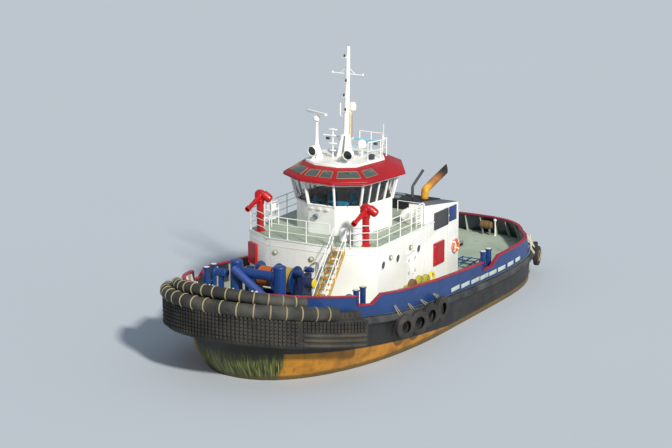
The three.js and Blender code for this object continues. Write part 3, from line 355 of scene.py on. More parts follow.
ROPE_TAN = Coating("tan_rope", "ochre_paint", "b49a45", "927736", "54451f", 0.88, patches=0.8, spots=0.5,
                   grain=90, relief=0.004)
ROPE_ORANGE = Coating("orange_rope", "red_paint", "b8602c", "944a24", "4f3320", 0.88, patches=0.8, spots=0.4,
                      grain=90, relief=0.004)
LASHING = Coating("lashing", "white_paint", "b3a67e", "8a8060", "4f4a3a", 0.85, patches=0.9, spots=0.5,
                  grain=90, relief=0.004)


@dataclass(frozen=True)
class Rubber(Finish):
    """Weathered fender rubber: dark, with dusty patches, brown stains and pale specks."""

    base: str
    dust: str
    stain: str
    stain_share: float = 0.55
    relief: float = 0.006

    def inputs(self, recipe: Recipe) -> dict:
        """The rubber's colour, sheen and cracks.

        Args:
            recipe: The material's nodes.

        Returns:
            The shader's values, by input.
        """
        tint = recipe.layers(
            self.base,
            (self.dust, 0.8, 5.0, 0.35, 0.7),
            (self.stain, 1.3, 5.0, 0.56, 0.74, self.stain_share, (1, 1, 2.5)),
            ("6d6a5f", 22.0, 4.0, 0.6, 0.72, 0.35),
        )
        values = {"Vector": recipe.spot, "Scale": 24.0}
        cells = recipe.node("ShaderNodeTexVoronoi", values=values, out="Distance")
        return {
            "Base Color": tint,
            "Roughness": recipe.noise(5.0) * 0.25 + 0.66,
            "Normal": recipe.bump(cells * 0.5 + recipe.noise(11.0, 6.0), self.relief),
        }


FENDER = Rubber("fender_rubber", "fender_rubber", "282825", "4d4b43", "5c4a30")
SIDE_RUBBER = Rubber("side_rubber", "fender_rubber", "26282a", "4c4d4c", "5a5348", 0.4)
BLOCK = Rubber("block_rubber", "fender_rubber", "1f1e1b", "38352e", "4a3d2d")
BLOCK_BAR = Rubber("block_bar_rubber", "fender_rubber", "2c2a25", "494336", "5f4932")
TYRE = Rubber("tyre_rubber", "tyre_rubber", "1e1e1e", "3d3a36", "6a5740", 0.35, 0.004)


@dataclass(frozen=True)
class HullPaint(Finish):
    """Black topsides over an ochre band, red below the waterline, weed at the forefoot darkened upward by
    painted shadow under the block fender, a growth band at the waterline that also paints the water's olive
    reflection, and a green deck.
    """

    def strands(self, recipe: Recipe, angle: Channel, z: Channel, count: float) -> Channel:
        """Noise drawn out downward, as weed hangs on the stem.

        Args:
            recipe: The material's nodes.
            angle: Angle round the stem, in radians.
            z: Height.
            count: Strands to a radian.

        Returns:
            The noise.
        """
        spot = recipe.node("ShaderNodeCombineXYZ", values={0: angle * count, 1: z * 0.9})
        return recipe.node("ShaderNodeTexNoise", values={"Vector": spot, "Scale": 1.0, "Detail": 2.0})

    def inputs(self, recipe: Recipe) -> dict:
        """The hull's colours by height and place, its sheen and its seams.

        Args:
            recipe: The material's nodes.

        Returns:
            The shader's values, by input.
        """
        x, y, z = (recipe.axis(name) for name in "XYZ")
        wobble = recipe.noise(7.0) * 0.03 - 0.015
        topside = recipe.layers(
            "141517",
            ("2d2b29", 0.6, 5.0, 0.35, 0.7, 0.7),
            ("5a5348", 1.4, 6.0, 0.6, 0.75, 0.4, (0.35, 1, 5.0)),
            ("5e3518", 1.7, 6.0, 0.62, 0.8, 0.55, (1.6, 1.6, 0.3)),
        )
        ochre = recipe.layers("b57b20", ("8a5c1b", 1.1, 5.0, 0.35, 0.7),
                              ("5f4a22", 1.5, 6.0, 0.55, 0.75, 0.5, (2.5, 2.5, 0.5)))
        band_top = x.maths("MAXIMUM", x + 0.7, 0.0) * 0.105 + 0.22
        tint = recipe.mix((z - band_top + wobble).step(0.03, -0.03), topside, ochre)
        weed_area = (x - z * 0.25 + recipe.noise(1.6, 4.0, (1, 1, 0.3)) * 0.5).step(10.85, 11.15)
        round_stem = y.maths("ARCTAN2", y, x - 7.5)
        weed = recipe.mix(self.strands(recipe, round_stem, z, 26.0).step(0.38, 0.58), "1d1f16", "4c5424")
        weed = recipe.mix(self.strands(recipe, round_stem, z, 60.0).step(0.50, 0.64) * 0.8, weed, "8a8f45")
        # Painted shadow: upward the weed darkens to near black, the shade under the block fender.
        weed = recipe.mix(z.step(0.95, 1.6), weed, "1a1a15")
        tint = recipe.mix(weed_area, tint, weed)
        # Growth at the waterline, deepened to also paint the water's dull olive reflection on the hull.
        growth_and_painted_reflection = (z + recipe.noise(3.0, 5.0) * 0.16).step(0.40, 0.24)
        tint = recipe.mix(growth_and_painted_reflection * 0.85, tint, "4a4222")
        bottom = recipe.layers("7a2320", ("5a1f1d", 0.7, 5.0, 0.4, 0.7),
                               ("4a4a33", 3.0, 6.0, 0.58, 0.72, 0.6))
        tint = recipe.mix((z + wobble).step(0.0, -0.05), tint, bottom)
        plating = recipe.layers(
            "a9b5a1",
            ("94a28f", 0.5, 5.0, 0.35, 0.7),
            ("6f6549", 2.3, 6.0, 0.6, 0.75, 0.5),
            ("bcc4b0", 0.9, 6.0, 0.55, 0.8, 0.5),
        )
        on_deck = recipe.axis("Z", recipe.facing()).step(0.6, 0.8) * z.step(0.9, 1.2)
        seams = (x.wave(2.4, 0.008) + z.wave(1.2, 0.012)) * -0.25
        return {
            "Base Color": recipe.mix(on_deck, tint, plating),
            "Roughness": recipe.noise(2.0, 4.0) * 0.3 + 0.35 + on_deck * 0.25,
            "Normal": recipe.bump(recipe.noise(0.9, 2.0) + recipe.noise(30.0, 2.0) * 0.06 + seams, 0.02),
        }


@dataclass(frozen=True)
class BulwarkPaint(Finish):
    """Blue outside; inside, cream at the bow and dark blue-grey aft of it, the dark being painted shade where
    the inner face stands in shadow; rust runs and worn patches.
    """

    def inputs(self, recipe: Recipe) -> dict:
        """The bulwark's colours by side and place, its sheen and its seams.

        Args:
            recipe: The material's nodes.

        Returns:
            The shader's values, by input.
        """
        x = recipe.axis("X")
        blue = recipe.layers(
            "153b74",
            ("112f60", 0.5, 4.0, 0.35, 0.7, 0.8),
            ("2f5794", 1.1, 6.0, 0.56, 0.78, 0.35, (0.6, 1, 2.2)),
            ("1c2b48", 1.0, 5.0, 0.6, 0.82, 0.5, (3.0, 3.0, 0.25)),
        )
        blue = recipe.mix(x.step(6.9, 7.0) * x.step(9.6, 9.5) * 0.22, blue, "10305f")
        vector = "ShaderNodeVectorMath"
        flat = recipe.node(vector, {"operation": "MULTIPLY"}, {0: recipe.spot, 1: (0.35, 1, 0)})
        outward = recipe.node(vector, {"operation": "DOT_PRODUCT"}, {0: recipe.facing(), 1: flat}, "Value")
        # Painted shade: aft of the bow the inner face is dark blue-grey for the shadow that falls on it;
        # forward of x 8.9 it shows its cream paint.
        dark = recipe.layers("1b2434", ("2a3344", 0.9, 5.0, 0.35, 0.7))
        cream = recipe.layers("d9cfa6", ("c2a58c", 2.0, 5.0, 0.4, 0.7))
        inside = recipe.mix(x.step(8.6, 8.9), dark, cream)
        return {
            "Base Color": recipe.mix(outward.step(0.25, -0.25), blue, inside),
            "Roughness": recipe.noise(3.0) * 0.25 + 0.33,
            "Coat Weight": 0.15,
            "Normal": recipe.bump(recipe.noise(1.2, 2.0) + x.wave(2.4, 0.006) * -0.3, 0.012),
        }


@dataclass(frozen=True)
class TopPaint(Finish):
    """One paint on faces that look up above a height, and another on all others."""

    top: str
    worn: str
    side: str
    side_worn: str
    height: float
    flat: float

    def inputs(self, recipe: Recipe) -> dict:
        """Both paints, their sheen and their grain.

        Args:
            recipe: The material's nodes.

        Returns:
            The shader's values, by input.
        """
        share = recipe.axis("Z", recipe.facing()).step(self.flat - 0.05, self.flat + 0.05)
        share = share * recipe.axis("Z").step(self.height - 0.006, self.height + 0.006)
        top = recipe.layers(self.top, (self.worn, 0.7, 5.0, 0.35, 0.7), ("6d6a50", 2.0, 6.0, 0.6, 0.75, 0.35))
        side = recipe.layers(self.side, (self.side_worn, 0.8, 4.0, 0.3, 0.7, 0.6),
                             ("4a3a30", 1.0, 5.0, 0.6, 0.8, 0.25, (2.6, 2.6, 0.3)))
        return {
            "Base Color": recipe.mix(share, side, top),
            "Roughness": recipe.noise(3.0) * 0.25 + 0.35,
            "Normal": recipe.bump(recipe.noise(40.0, 2.0), 0.001),
        }


DECK_TOP = TopPaint("boat_deck_paint", "deck_paint", "a7b3a0", "93a18e", "f4f3ed", "dedcd2", 5.0, 0.9)
CASING_TOP = TopPaint("casing_paint", "white_paint", "66727a", "4d565c", "f4f3ed", "dedcd2", 5.3, 0.8)
ROOF_PAINT = TopPaint("roof_paint", "red_paint", "f3f1ea", "dedbcf", "ad0812", "8c0a16", 8.515, -2.0)


@dataclass(frozen=True)
class Glass(Finish):
    """Tinted window glass."""

    tint: str
    alpha: float

    def inputs(self, recipe: Recipe) -> dict:
        """The glass's tint, smears and depth.

        Args:
            recipe: The material's nodes.

        Returns:
            The shader's values, by input.
        """
        return {
            "Base Color": recipe.mix(recipe.noise(1.2), self.tint, "3a4a44"),
            "Roughness": recipe.noise(2.0, 4.0).step(0.4, 0.8) * 0.07 + 0.03,
            "Alpha": recipe.noise(0.8, 2.0) * 0.12 + (self.alpha - 0.06),
            "Coat Weight": 0.5,
        }


CLEAR = Glass("clear_glass", "clear_glass", "22302e", 0.16)
PORTLIGHT = Glass("portlight_glass", "clear_glass", "141a1e", 1.0)
ROOF_GLASS = Glass("roof_glass", "clear_glass", "4c544f", 1.0)


@dataclass(frozen=True)
class Scorched(Finish):
    """Exhaust pipe paint: ochre at the foot, then rust, then soot at the open end."""

    def inputs(self, recipe: Recipe) -> dict:
        """The pipe's colours from foot to end, its sheen and its scale.

        Args:
            recipe: The material's nodes.

        Returns:
            The shader's values, by input.
        """
        aft = recipe.axis("X") * -1.0 + recipe.noise(1.6, 4.0) * 0.5
        ochre = recipe.layers("d9a02a", ("b67e1e", 2.0, 5.0, 0.35, 0.7))
        rust = recipe.layers("96592a", ("b2763e", 4.0, 5.0, 0.35, 0.7))
        soot = recipe.layers("1d1a19", ("3c3029", 3.0, 5.0, 0.4, 0.7))
        tint = recipe.mix(aft.step(4.15, 4.75), ochre, rust)
        tint = recipe.mix(aft.step(5.15, 5.95), tint, soot)
        return {
            "Base Color": recipe.mix(recipe.axis("Z").step(5.9, 5.72) * 0.5, tint, "4c3a22"),
            "Roughness": recipe.noise(4.0) * 0.3 + 0.5,
            "Normal": recipe.bump(recipe.noise(14.0, 4.0), 0.004),
        }


SCORCHED = Scorched("scorched_ochre", "ochre_paint")
HULL_PAINT = HullPaint("hull_paint", "hull_paint")
BULWARK_PAINT = BulwarkPaint("bulwark_blue", "blue_paint")


class Paintshop:
    """Makes each finish once."""

    def __init__(self) -> None:
        """Starts with no materials made."""
        self.made: dict[str, Material] = {}

    def get(self, finish: Finish) -> Material:
        """The finish's material, made at its first use."""
        if finish.name not in self.made:
            self.made[finish.name] = finish.make()
        return self.made[finish.name]


SHOP = Paintshop()


# The bench: a primitive, shaped in edit mode, then finished by modifiers


def clear() -> None:
    """Leaves edit mode and deselects everything."""
    if bpy.context.object and bpy.context.object.mode != "OBJECT":
        bpy.ops.object.mode_set(mode="OBJECT")
    bpy.ops.object.select_all(action="DESELECT")


def pick(obj: Object) -> None:
    """Makes one object the only selected and the active one.

    Args:
        obj: The object.
    """
    clear()
    obj.select_set(True)
    bpy.context.view_layer.objects.active = obj


@contextmanager
def editing(obj: Object, facing: Point | None = None) -> Iterator[None]:
    """Edit mode on one object, with all of it selected or only the faces that look one way.

    Args:
        obj: The object.
        facing: The way that the wanted faces look.

    Returns:
        A context that ends in object mode.
    """
    pick(obj)
    bpy.ops.object.mode_set(mode="EDIT")
    if facing is None:
        bpy.ops.mesh.select_all(action="SELECT")
    else:
        bpy.ops.mesh.select_mode(type="FACE")
        bpy.ops.mesh.select_all(action="DESELECT")
        bpy.ops.object.mode_set(mode="OBJECT")
        for face in obj.data.polygons:
            face.select = face.normal.dot(Vector(facing)) > 0.9
        bpy.ops.object.mode_set(mode="EDIT")
    yield
    bpy.ops.object.mode_set(mode="OBJECT")


def settle(obj: Object) -> Object:
    """Merges doubles, turns all faces outward and leaves the place in the mesh.

    Args:
        obj: A mesh object.

    Returns:
        The same object.
    """
    pick(obj)
    bpy.ops.object.transform_apply(location=True, rotation=True, scale=True)
    with editing(obj):
        bpy.ops.mesh.remove_doubles(threshold=1e-5)
        bpy.ops.mesh.normals_make_consistent(inside=False)
    return obj


def modify(obj: Object, kind: str, **settings: Any) -> Object:
    """Adds a modifier of that type and those settings, and applies it.

    Args:
        obj: A mesh object.
        kind: The modifier's type.
        settings: The modifier's properties by name.

    Returns:
        The same object.
    """
    pick(obj)
    modifier = obj.modifiers.new(kind.lower(), kind)
    for key, value in settings.items():
        setattr(modifier, key, value)
    bpy.ops.object.modifier_apply(modifier=modifier.name)
    return obj


def bevel(obj: Object, width: float, segments: int = 2) -> Object:
    """Rounds the sharp edges, unless the width is 0."""
    if not width:
        return obj
    return modify(obj, "BEVEL", width=width, segments=segments, limit_method="ANGLE",
                  angle_limit=math.radians(38), harden_normals=False)


def block(low: Point, high: Point, width: float = 0.012) -> Object:
    """A box between two corners, with edges rounded to a width.

    Args:
        low: The corner with the least X, Y and Z.
        high: The corner across from it.
        width: Width of the rounded edges, in metres.

    Returns:
        The box.
    """
    clear()
    middle = [(a + b) / 2 for a, b in zip(low, high)]
    bpy.ops.mesh.primitive_cube_add(size=1, location=middle)
    obj = bpy.context.object
    obj.scale = [abs(b - a) for a, b in zip(low, high)]
    return bevel(settle(obj), width)


def panel(low: Point, high: Point, width: float, facing: Point, *steps: tuple[float, float]) -> Object:
    """A box with a rim and steps pressed into one face.

    Args:
        low: Lowest corner.
        high: Highest corner.
        width: Bevel width.
        facing: The way that the pressed face looks.
        steps: Thickness and depth of each step.

    Returns:
        The object.
    """
    obj = block(low, high, width)
    with editing(obj, facing):
        for thickness, depth in ((0.05, 0.0), *steps):
            bpy.ops.mesh.inset(thickness=thickness, depth=depth)
    return obj


def prism(outline: Sequence[Point], push: Point, width: float = 0.008) -> Object:
    """A flat outline pushed along a direction.

    Args:
        outline: Corner points in order.
        push: How far and which way it is extruded.
        width: Bevel width.

    Returns:
        The object.
    """
    clear()
    bpy.ops.mesh.primitive_circle_add(vertices=len(outline), radius=1, fill_type="NGON")
    obj = bpy.context.object
    for vertex, corner in zip(obj.data.vertices, outline):
        vertex.co = corner
    with editing(obj):
        bpy.ops.mesh.extrude_region_move(TRANSFORM_OT_translate={"value": tuple(push)})
    return bevel(settle(obj), width)


def turned(profile: Sequence[tuple[float, float]], spot: Point, axis: Point = UP, sides: int = 32,
           closed: bool = False) -> Object:
    """A shape turned on a lathe: circles drawn out and scaled step by step.

    Args:
        profile: Radius and distance along the axis, step by step.
        spot: Where distance 0 stands.
        axis: Direction of the axis.
        sides: Faces round it.
        closed: True where the profile comes back to its start, as in a ring.

    Returns:
        The object.
    """
    clear()
    least = 0.0005
    points = [(max(radius, least), height) for radius, height in profile]
    last_radius, last_height = points[0]
    bpy.ops.mesh.primitive_circle_add(vertices=sides, radius=last_radius, location=(0, 0, last_height))
    obj = bpy.context.object
    bpy.ops.object.transform_apply(location=True)
    with editing(obj):
        bpy.ops.mesh.select_mode(type="EDGE")
        bpy.ops.mesh.select_all(action="SELECT")
        for radius, height in points[1:] + points[:1] * closed:
            bpy.ops.mesh.extrude_edges_move(TRANSFORM_OT_translate={"value": (0, 0, height - last_height)})
            share = radius / last_radius
            bpy.ops.transform.resize(value=(share, share, 1), center_override=(0, 0, height))
            last_radius, last_height = radius, height
        if not closed:
            bpy.ops.mesh.select_all(action="SELECT")
            bpy.ops.mesh.fill_holes(sides=0)
    turn = Vector(UP).rotation_difference(Vector(axis).normalized()).to_matrix().to_4x4()
    obj.data.transform(Matrix.Translation(spot) @ turn)
    return settle(obj)


def rod(start: Point, end: Point, radius: float, sides: int = 16) -> Object:
    """A round bar with softened ends.

    Args:
        start: Centre of its first end.
        end: Centre of its other end.
        radius: Its radius.
        sides: Faces round it.

    Returns:
        The object.
    """
    reach = Vector(end) - Vector(start)
    lip = radius * 0.18
    profile = [(radius - lip, 0), (radius, lip), (radius, reach.length - lip), (radius - lip, reach.length)]
    return turned(profile, start, reach, sides)


def tubes(lines: Iterable[Sequence[Point]], radius: float, sides: int = 8, cyclic: bool = False,
          radii: Sequence[float] | None = None, caps: bool = True) -> Object:
    """Round bars or ropes along lines of points, as one mesh.

    Args:
        lines: Each a run of points.
        radius: Radius of the tube.
        sides: Faces round it, in steps of four.
        cyclic: True where each line closes on itself.
        radii: Share of the radius at each point.
        caps: True where its ends are closed.

    Returns:
        The object.
    """
    clear()
    curve = bpy.data.curves.new("tube", "CURVE")
    curve.dimensions = "3D"
    curve.bevel_depth = radius
    curve.bevel_resolution = max(0, sides // 4 - 1)
    curve.use_fill_caps = caps
    for line in lines:
        spline = curve.splines.new("POLY")
        spline.points.add(len(line) - 1)
        spline.use_cyclic_u = cyclic
        for k, (point, spot) in enumerate(zip(spline.points, line)):
            point.co = (*spot, 1)
            if radii:
                point.radius = radii[k]
    obj = bpy.data.objects.new("tube", curve)
    bpy.context.scene.collection.objects.link(obj)
    pick(obj)
    bpy.ops.object.convert(target="MESH")
    return settle(bpy.context.object)


def twin(obj: Object, move: Matrix) -> Object:
    """A copy with its own mesh, moved.

    Args:
        obj: A mesh object.
        move: The placement that its points are moved by.

    Returns:
        The copy.
    """
    made = obj.copy()
    made.data = obj.data.copy()
    made.data.transform(move)
    bpy.context.scene.collection.objects.link(made)
    return made


def copies(template: Object, moves: Iterable[Matrix]) -> list[Object]:
    """Copies of a finished object, moved, in place of the first.

    Args:
        template: The object, which is taken away.
        moves: A placement for each copy.

    Returns:
        The copies.
    """
    made = [twin(template, move) for move in moves]
    bpy.data.objects.remove(template)
    return made


def join(parts: Object | list[Object]) -> Object:
    """Joins objects into one.

    Args:
        parts: One object or a list of them.

    Returns:
        The joined object.
    """
    objects = parts if isinstance(parts, list) else [parts]
    clear()
    for obj in objects:
        obj.select_set(True)
    bpy.context.view_layer.objects.active = objects[0]
    if len(objects) > 1:
        bpy.ops.object.join()
    return bpy.context.view_layer.objects.active


def smooth(obj: Object, angle: float) -> None:
    """Shades an object smooth up to an angle between faces, in degrees."""
    pick(obj)
    bpy.ops.object.shade_smooth_by_angle(angle=math.radians(angle))


def place(name: str, finish: Finish, parts: Object | list[Object], body: str = BOAT, replaces: str = "",
          angle: float = SMOOTH_ANGLE) -> Object:
    """Joins, names, shades, coats and mounts a finished piece.

    Args:
        name: Its name.
        finish: Its finish.
        parts: The object or objects that it is made of.
        body: The CAD body that it rides on.
        replaces: The CAD node that it stands for.
        angle: Greatest angle between faces that is shaded smooth, in degrees.

    Returns:
        The piece.
    """
    obj = join(parts)
    obj.name = name
    obj.data.name = name
    smooth(obj, angle)
    obj.data.materials.clear()
    obj.data.materials.append(SHOP.get(finish))
    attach(obj, body)
    if replaces:
        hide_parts(replaces)
    log.info("%s on %s: %d faces", name, body, len(obj.data.polygons))
    return obj


def both_sides(name: str, finish: Finish, parts: Object | list[Object], replaces: str = "") -> None:
    """Places a port piece and its mirror image to starboard.

    Args:
        name: Its name without the side.
        finish: Its finish.
        parts: The port object or objects.
        replaces: CAD node without the side that each stands for.
    """
    port = join(parts)
    starboard = twin(port, Matrix.Diagonal((1, -1, 1, 1)))
    with editing(starboard):
        bpy.ops.mesh.flip_normals()
    for side, obj in ((Side.PORT, port), (Side.STARBOARD, starboard)):
        place(f"{name}_{side.word}", finish, obj, replaces=replaces and f"{replaces}_{side.word}")


def skin(node: str, name: str, finish: Finish, width: float = 0.012, segments: int = 2, body: str = BOAT,
         angle: float = SMOOTH_ANGLE) -> None:
    """Dresses a CAD node: a merged and smoothly shaded copy stands for it.

    Args:
        node: The node's name.
        name: The piece's name.
        finish: Its finish.
        width: Width of its rounded edges, or 0.
        segments: Steps in each rounded edge.
        body: The CAD body that it rides on.
        angle: Greatest angle between faces that is shaded smooth, in degrees.
    """
    obj = bpy.data.objects.new(node + "_skin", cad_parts[node].data.copy())
    bpy.context.scene.collection.objects.link(obj)
    with editing(obj):
        bpy.ops.mesh.remove_doubles(threshold=1e-4)
        bpy.ops.mesh.dissolve_limited(angle_limit=math.radians(0.6))
    # The CAD's own normals hide some sharp edges from the one pass in place
    smooth(bevel(obj, width, segments), SMOOTH_ANGLE)
    place(name, finish, obj, body, node, angle)


def railing(points: Sequence[Point], base: float, height: float, bars: int, low: float) -> Object:
    """A railing of round bars on posts.

    Args:
        points: Posts in plan.
        base: Height of the deck.
        height: Height of the top bar.
        bars: Number of bars.
        low: Radius of the lower bars.

    Returns:
        The railing.
    """
    top, post = 0.024, 0.026
    parts = [tubes([[(x, y, base + height) for x, y in points]], top, 12)]
    parts.append(tubes([[(x, y, base + height * k / bars) for x, y in points] for k in range(1, bars)], low))
    profile = [(post * 2, 0), (post * 2, 0.012), (post, 0.016), (post, height), (0.002, height)]
    parts += copies(turned(profile, (0, 0, base), UP, 12), [Matrix.Translation((x, y, 0)) for x, y in points])
    return join(parts)


# The hull's lines


@dataclass(frozen=True)
class Lines:
    """The deck edge in plan and the sheer of the rail, as the hull is built."""

    stern: float = -14.1
    run: float = -6.0
    stern_power: float = 2.9
    shoulder: float = 3.9
    bow: float = 12.6
    bow_power: float = 2.15
    half: float = 5.1
    rail_low: float = 2.6
    rail_rise: float = 0.0048
    rise_start: float = -8.0
    bulwark: float = 1.05

    def rail(self, x: float) -> float:
        """Height of the cap rail's top, without the dips."""
        return self.rail_low + self.rail_rise * max(0.0, x - self.rise_start) ** 2

    def deck(self, x: float) -> float:
        """Height of the deck."""
        return self.rail(x) - self.bulwark

    def breadth(self, x: float) -> float:
        """Half breadth at the deck edge.

        Args:
            x: Place along the boat.

        Returns:
            Half the breadth there.
        """
        if x > self.shoulder:
            share = min(1.0, (x - self.shoulder) / (self.bow - self.shoulder))
            return self.half * (1 - share ** self.bow_power) ** (1 / self.bow_power)
        if x < self.run:
            share = min(1.0, (self.run - x) / (self.run - self.stern))
            return self.half * (1 - share ** self.stern_power) ** (1 / self.stern_power)
        return self.half

    def lean(self, x: float) -> float:
        """How far the bulwark's top stands inboard of its foot, round the stern."""
        share = min(1.0, max(0.0, (-10.0 - x) / 2.2))
        return 0.5 * share * share * (3 - 2 * share)

    def normal(self, x: float) -> Vector:
        """Outward direction of the port deck edge, in plan.

        Args:
            x: Place along the boat.

        Returns:
            A unit direction.
        """
        step = 0.02
        low, high = max(self.stern, x - step), min(self.bow, x + step)
        rise = self.breadth(high) - self.breadth(low)
        return Vector((-rise, high - low, 0)).normalized()

    def ahead(self, x: float) -> Vector:
        """Forward direction along the port deck edge, in plan."""
        normal = self.normal(x)
        return Vector((normal.y, -normal.x, 0))

    def beside(self, x: float, out: float, z: float) -> Vector:
        """A point outboard of the port deck edge, at a height."""
        spot = Vector((x, self.breadth(x), 0)) + self.normal(x) * out
        return Vector((spot.x, spot.y, z))

    def stand(self, x: float, out: float, z: float) -> Matrix:
        """A placement outboard of the port deck edge, its X forward along the edge."""
        return frame_at(self.beside(x, out, z), self.ahead(x))

    def round_bow(self, start: float, out: float, below: float, lift: float, count: int) -> list[Vector]:
        """Points round the bow from port to starboard.

        Args:
            start: Where it starts and ends along the boat.
            out: Distance outboard of the deck edge.
            below: Distance under the rail.
            lift: How far it rises at the bow.
            count: Number of points.

        Returns:
            The points.
        """
        reach = self.bow - self.shoulder
        first = math.asin(((start - self.shoulder) / reach) ** (self.bow_power / 2))
        points = []
        for k in range(count // 2 + 1):
            turn = first + (math.pi / 2 - first) * k / (count // 2)
            x = self.shoulder + reach * math.sin(turn) ** (2 / self.bow_power)
            rise = lift * (max(0.0, x - 11.0) / 1.6) ** 2
            off, z = out + 0.44 * rise, self.rail(x) - below + rise
            points.append(Vector((self.bow + off, 0, z)) if k == count // 2 else self.beside(x, off, z))
        return points + [Vector((p.x, -p.y, p.z)) for p in reversed(points[:-1])]


LINES = Lines()


def travel(points: Sequence[Vector]) -> list[float]:
    """Distance along a line of points, at each point.

    Args:
        points: The line's points in order.

    Returns:
        The distances from the first point.
    """
    total = [0.0]
    for a, b in zip(points, points[1:]):
        total.append(total[-1] + (b - a).length)
    return total


def point_on(points: Sequence[Vector], distance: float) -> tuple[Vector, Vector]:
    """The point and unit direction at a distance along a line.

    Args:
        points: The line's points in order.
        distance: Distance from the first point.

    Returns:
        The point, and the direction of the line there.
    """
    total = travel(points)
    k = 0
    while k < len(points) - 2 and total[k + 1] < distance:
        k += 1
    share = (distance - total[k]) / (total[k + 1] - total[k])
    return points[k].lerp(points[k + 1], share), (points[k + 1] - points[k]).normalized()


def frame_at(spot: Vector, ahead: Vector) -> Matrix:
    """A placement whose X runs along a direction in plan and whose Z is up.

    Args:
        spot: Its origin.
        ahead: The direction.

    Returns:
        The placement.
    """
    flat = Vector((ahead.x, ahead.y, 0)).normalized()
    side = Vector((-flat.y, flat.x, 0))
    return Matrix.Translation(spot) @ Matrix((flat, side, UP)).transposed().to_4x4()


def hung(face: Sequence[Vector], walked: float, height: float) -> Matrix:
    """A placement on a line round the bow, at a height from the rail, its Y outward."""
    spot, ahead = point_on(face, walked)
    return frame_at(Vector((spot.x, spot.y, LINES.rail(spot.x) + height)), -ahead)


def angles(count: int, first: float = 0.0, step: float = 0.0) -> list[tuple[float, float]]:
    """Cosines and sines of angles in even steps.

    Args:
        count: How many there are.
        first: The first angle, in degrees.
        step: Degrees between them, or 0 for a whole turn.

    Returns:
        A cosine and a sine for each.
    """
    turns = [math.radians(first + (step or 360 / count) * k) for k in range(count)]
    return [(math.cos(turn), math.sin(turn)) for turn in turns]


def ring(centre: Point, direction: Point, radius: float, steps: int = 28) -> list[Vector]:
    """Points of a circle round a direction."""
    turn = Vector(UP).rotation_difference(Vector(direction))
    return [Vector(centre) + turn @ Vector((radius * c, radius * s, 0)) for c, s in angles(steps)]


def girdle(centre: Vector, ahead: Vector, radius: float) -> list[Vector]:
    """Most of a ring round a level tube, open inboard.

    Args:
        centre: A point on the tube's centre line.
        ahead: The tube's direction there, with the outside on its left.
        radius: The ring's radius.

    Returns:
        The points.
    """
    side = Vector(UP).cross(ahead).normalized()
    up = ahead.cross(side).normalized()
    first, last, steps = 118, -108, 18
    return [centre + side * (radius * c) + up * (radius * s)
            for c, s in angles(steps + 1, first, (last - first) / steps)]


def between(low: list[Vector], high: list[Vector], a: int, b: int, share: float, rise: float) -> Vector:
    """A point of the facet between two outlines.

    Args:
        low: Corners of the lower outline.
        high: Corners of the upper one.
        a: The corner that the facet starts at.
        b: The corner that it ends at.
        share: How far it is from the first to the second.
        rise: How far it is from the lower outline to the upper.

    Returns:
        The point.
    """
    return low[a].lerp(low[b], share).lerp(high[a].lerp(high[b], share), rise)


# Camera, light and floor


@dataclass
class Surroundings:
    """Camera, soft light, and the plain floor at the height of the waterline."""

    azimuth: float = 29.343
    elevation: float = 14.104
    roll: float = 0.152
    distance: float = 118.226
    farthest: float = 2000.0
    focal: float = 2387.5
    picture: int = 672
    sensor: float = 36.0
    target: Point = (1.942, 0.0, 5.375)
    sun_azimuth: float = 56.0
    sun_elevation: float = 34.0
    sun_strength: float = 4.0
    sun_softness: float = 5.0
    sun_colour: Point = (1.0, 0.965, 0.91)
    sky_colour: Point = (0.72, 0.84, 1.0, 1.0)
    sky_strength: float = 0.46
    floor_size: float = 1600.0
    floor_roughness: float = 0.9

    def toward(self, azimuth: float, elevation: float) -> Vector:
        """The direction of an azimuth and elevation in degrees."""
        a, e = math.radians(azimuth), math.radians(elevation)
        return Vector((math.cos(a) * math.cos(e), math.sin(a) * math.cos(e), math.sin(e)))

    def camera(self) -> None:
        """Sets the camera where the photograph was taken from."""
        a, r = math.radians(self.azimuth), math.radians(self.roll)
        back = self.toward(self.azimuth, self.elevation)
        right = Vector((-math.sin(a), math.cos(a), 0))
        up = back.cross(right)
        level = right * math.cos(r) + up * math.sin(r)
        top = up * math.cos(r) - right * math.sin(r)
        turn = Matrix((level, top, back)).transposed().to_4x4()
        bpy.ops.object.camera_add()
        camera = bpy.context.object
        camera.matrix_world = Matrix.Translation(Vector(self.target) + back * self.distance) @ turn
        camera.data.sensor_width = self.sensor
        camera.data.lens = self.focal * self.sensor / self.picture
        camera.data.clip_end = self.farthest
        bpy.context.scene.camera = camera
        log.info("camera at %s", tuple(round(x, 2) for x in camera.location))

    def light(self) -> None:
        """Adds a soft sun and an even sky."""
        ray = self.toward(self.sun_azimuth, self.sun_elevation)
        bpy.ops.object.light_add(type="SUN")
        sun = bpy.context.object
        sun.rotation_euler = ray.to_track_quat("Z", "Y").to_euler()
        sun.data.energy = self.sun_strength
        sun.data.angle = math.radians(self.sun_softness)
        sun.data.color = self.sun_colour
        world = bpy.data.worlds.new("sky")
        world.use_nodes = True
        back = world.node_tree.nodes["Background"]
        back.inputs["Color"].default_value = self.sky_colour
        back.inputs["Strength"].default_value = self.sky_strength
        bpy.context.scene.world = world
        bpy.context.scene.view_settings.view_transform = "Standard"
        log.info("sun from %.0f degrees, %.0f up", self.sun_azimuth, self.sun_elevation)

    def build(self) -> None:
        """Adds the light and the floor."""
        self.light()
        clear()
        bpy.ops.mesh.primitive_plane_add(size=self.floor_size)
        sheet = bpy.context.object
        sheet.name = "floor"
        bpy.ops.object.transform_apply(scale=True)
        recipe = Recipe("floor")
        tint = recipe.mix(recipe.noise(0.02, 2.0), "bbc1c6", "b5bcc1")
        recipe.fill(recipe.shader, {"Base Color": tint, "Roughness": self.floor_roughness})
        sheet.data.materials.append(recipe.material)


# Hull and fenders


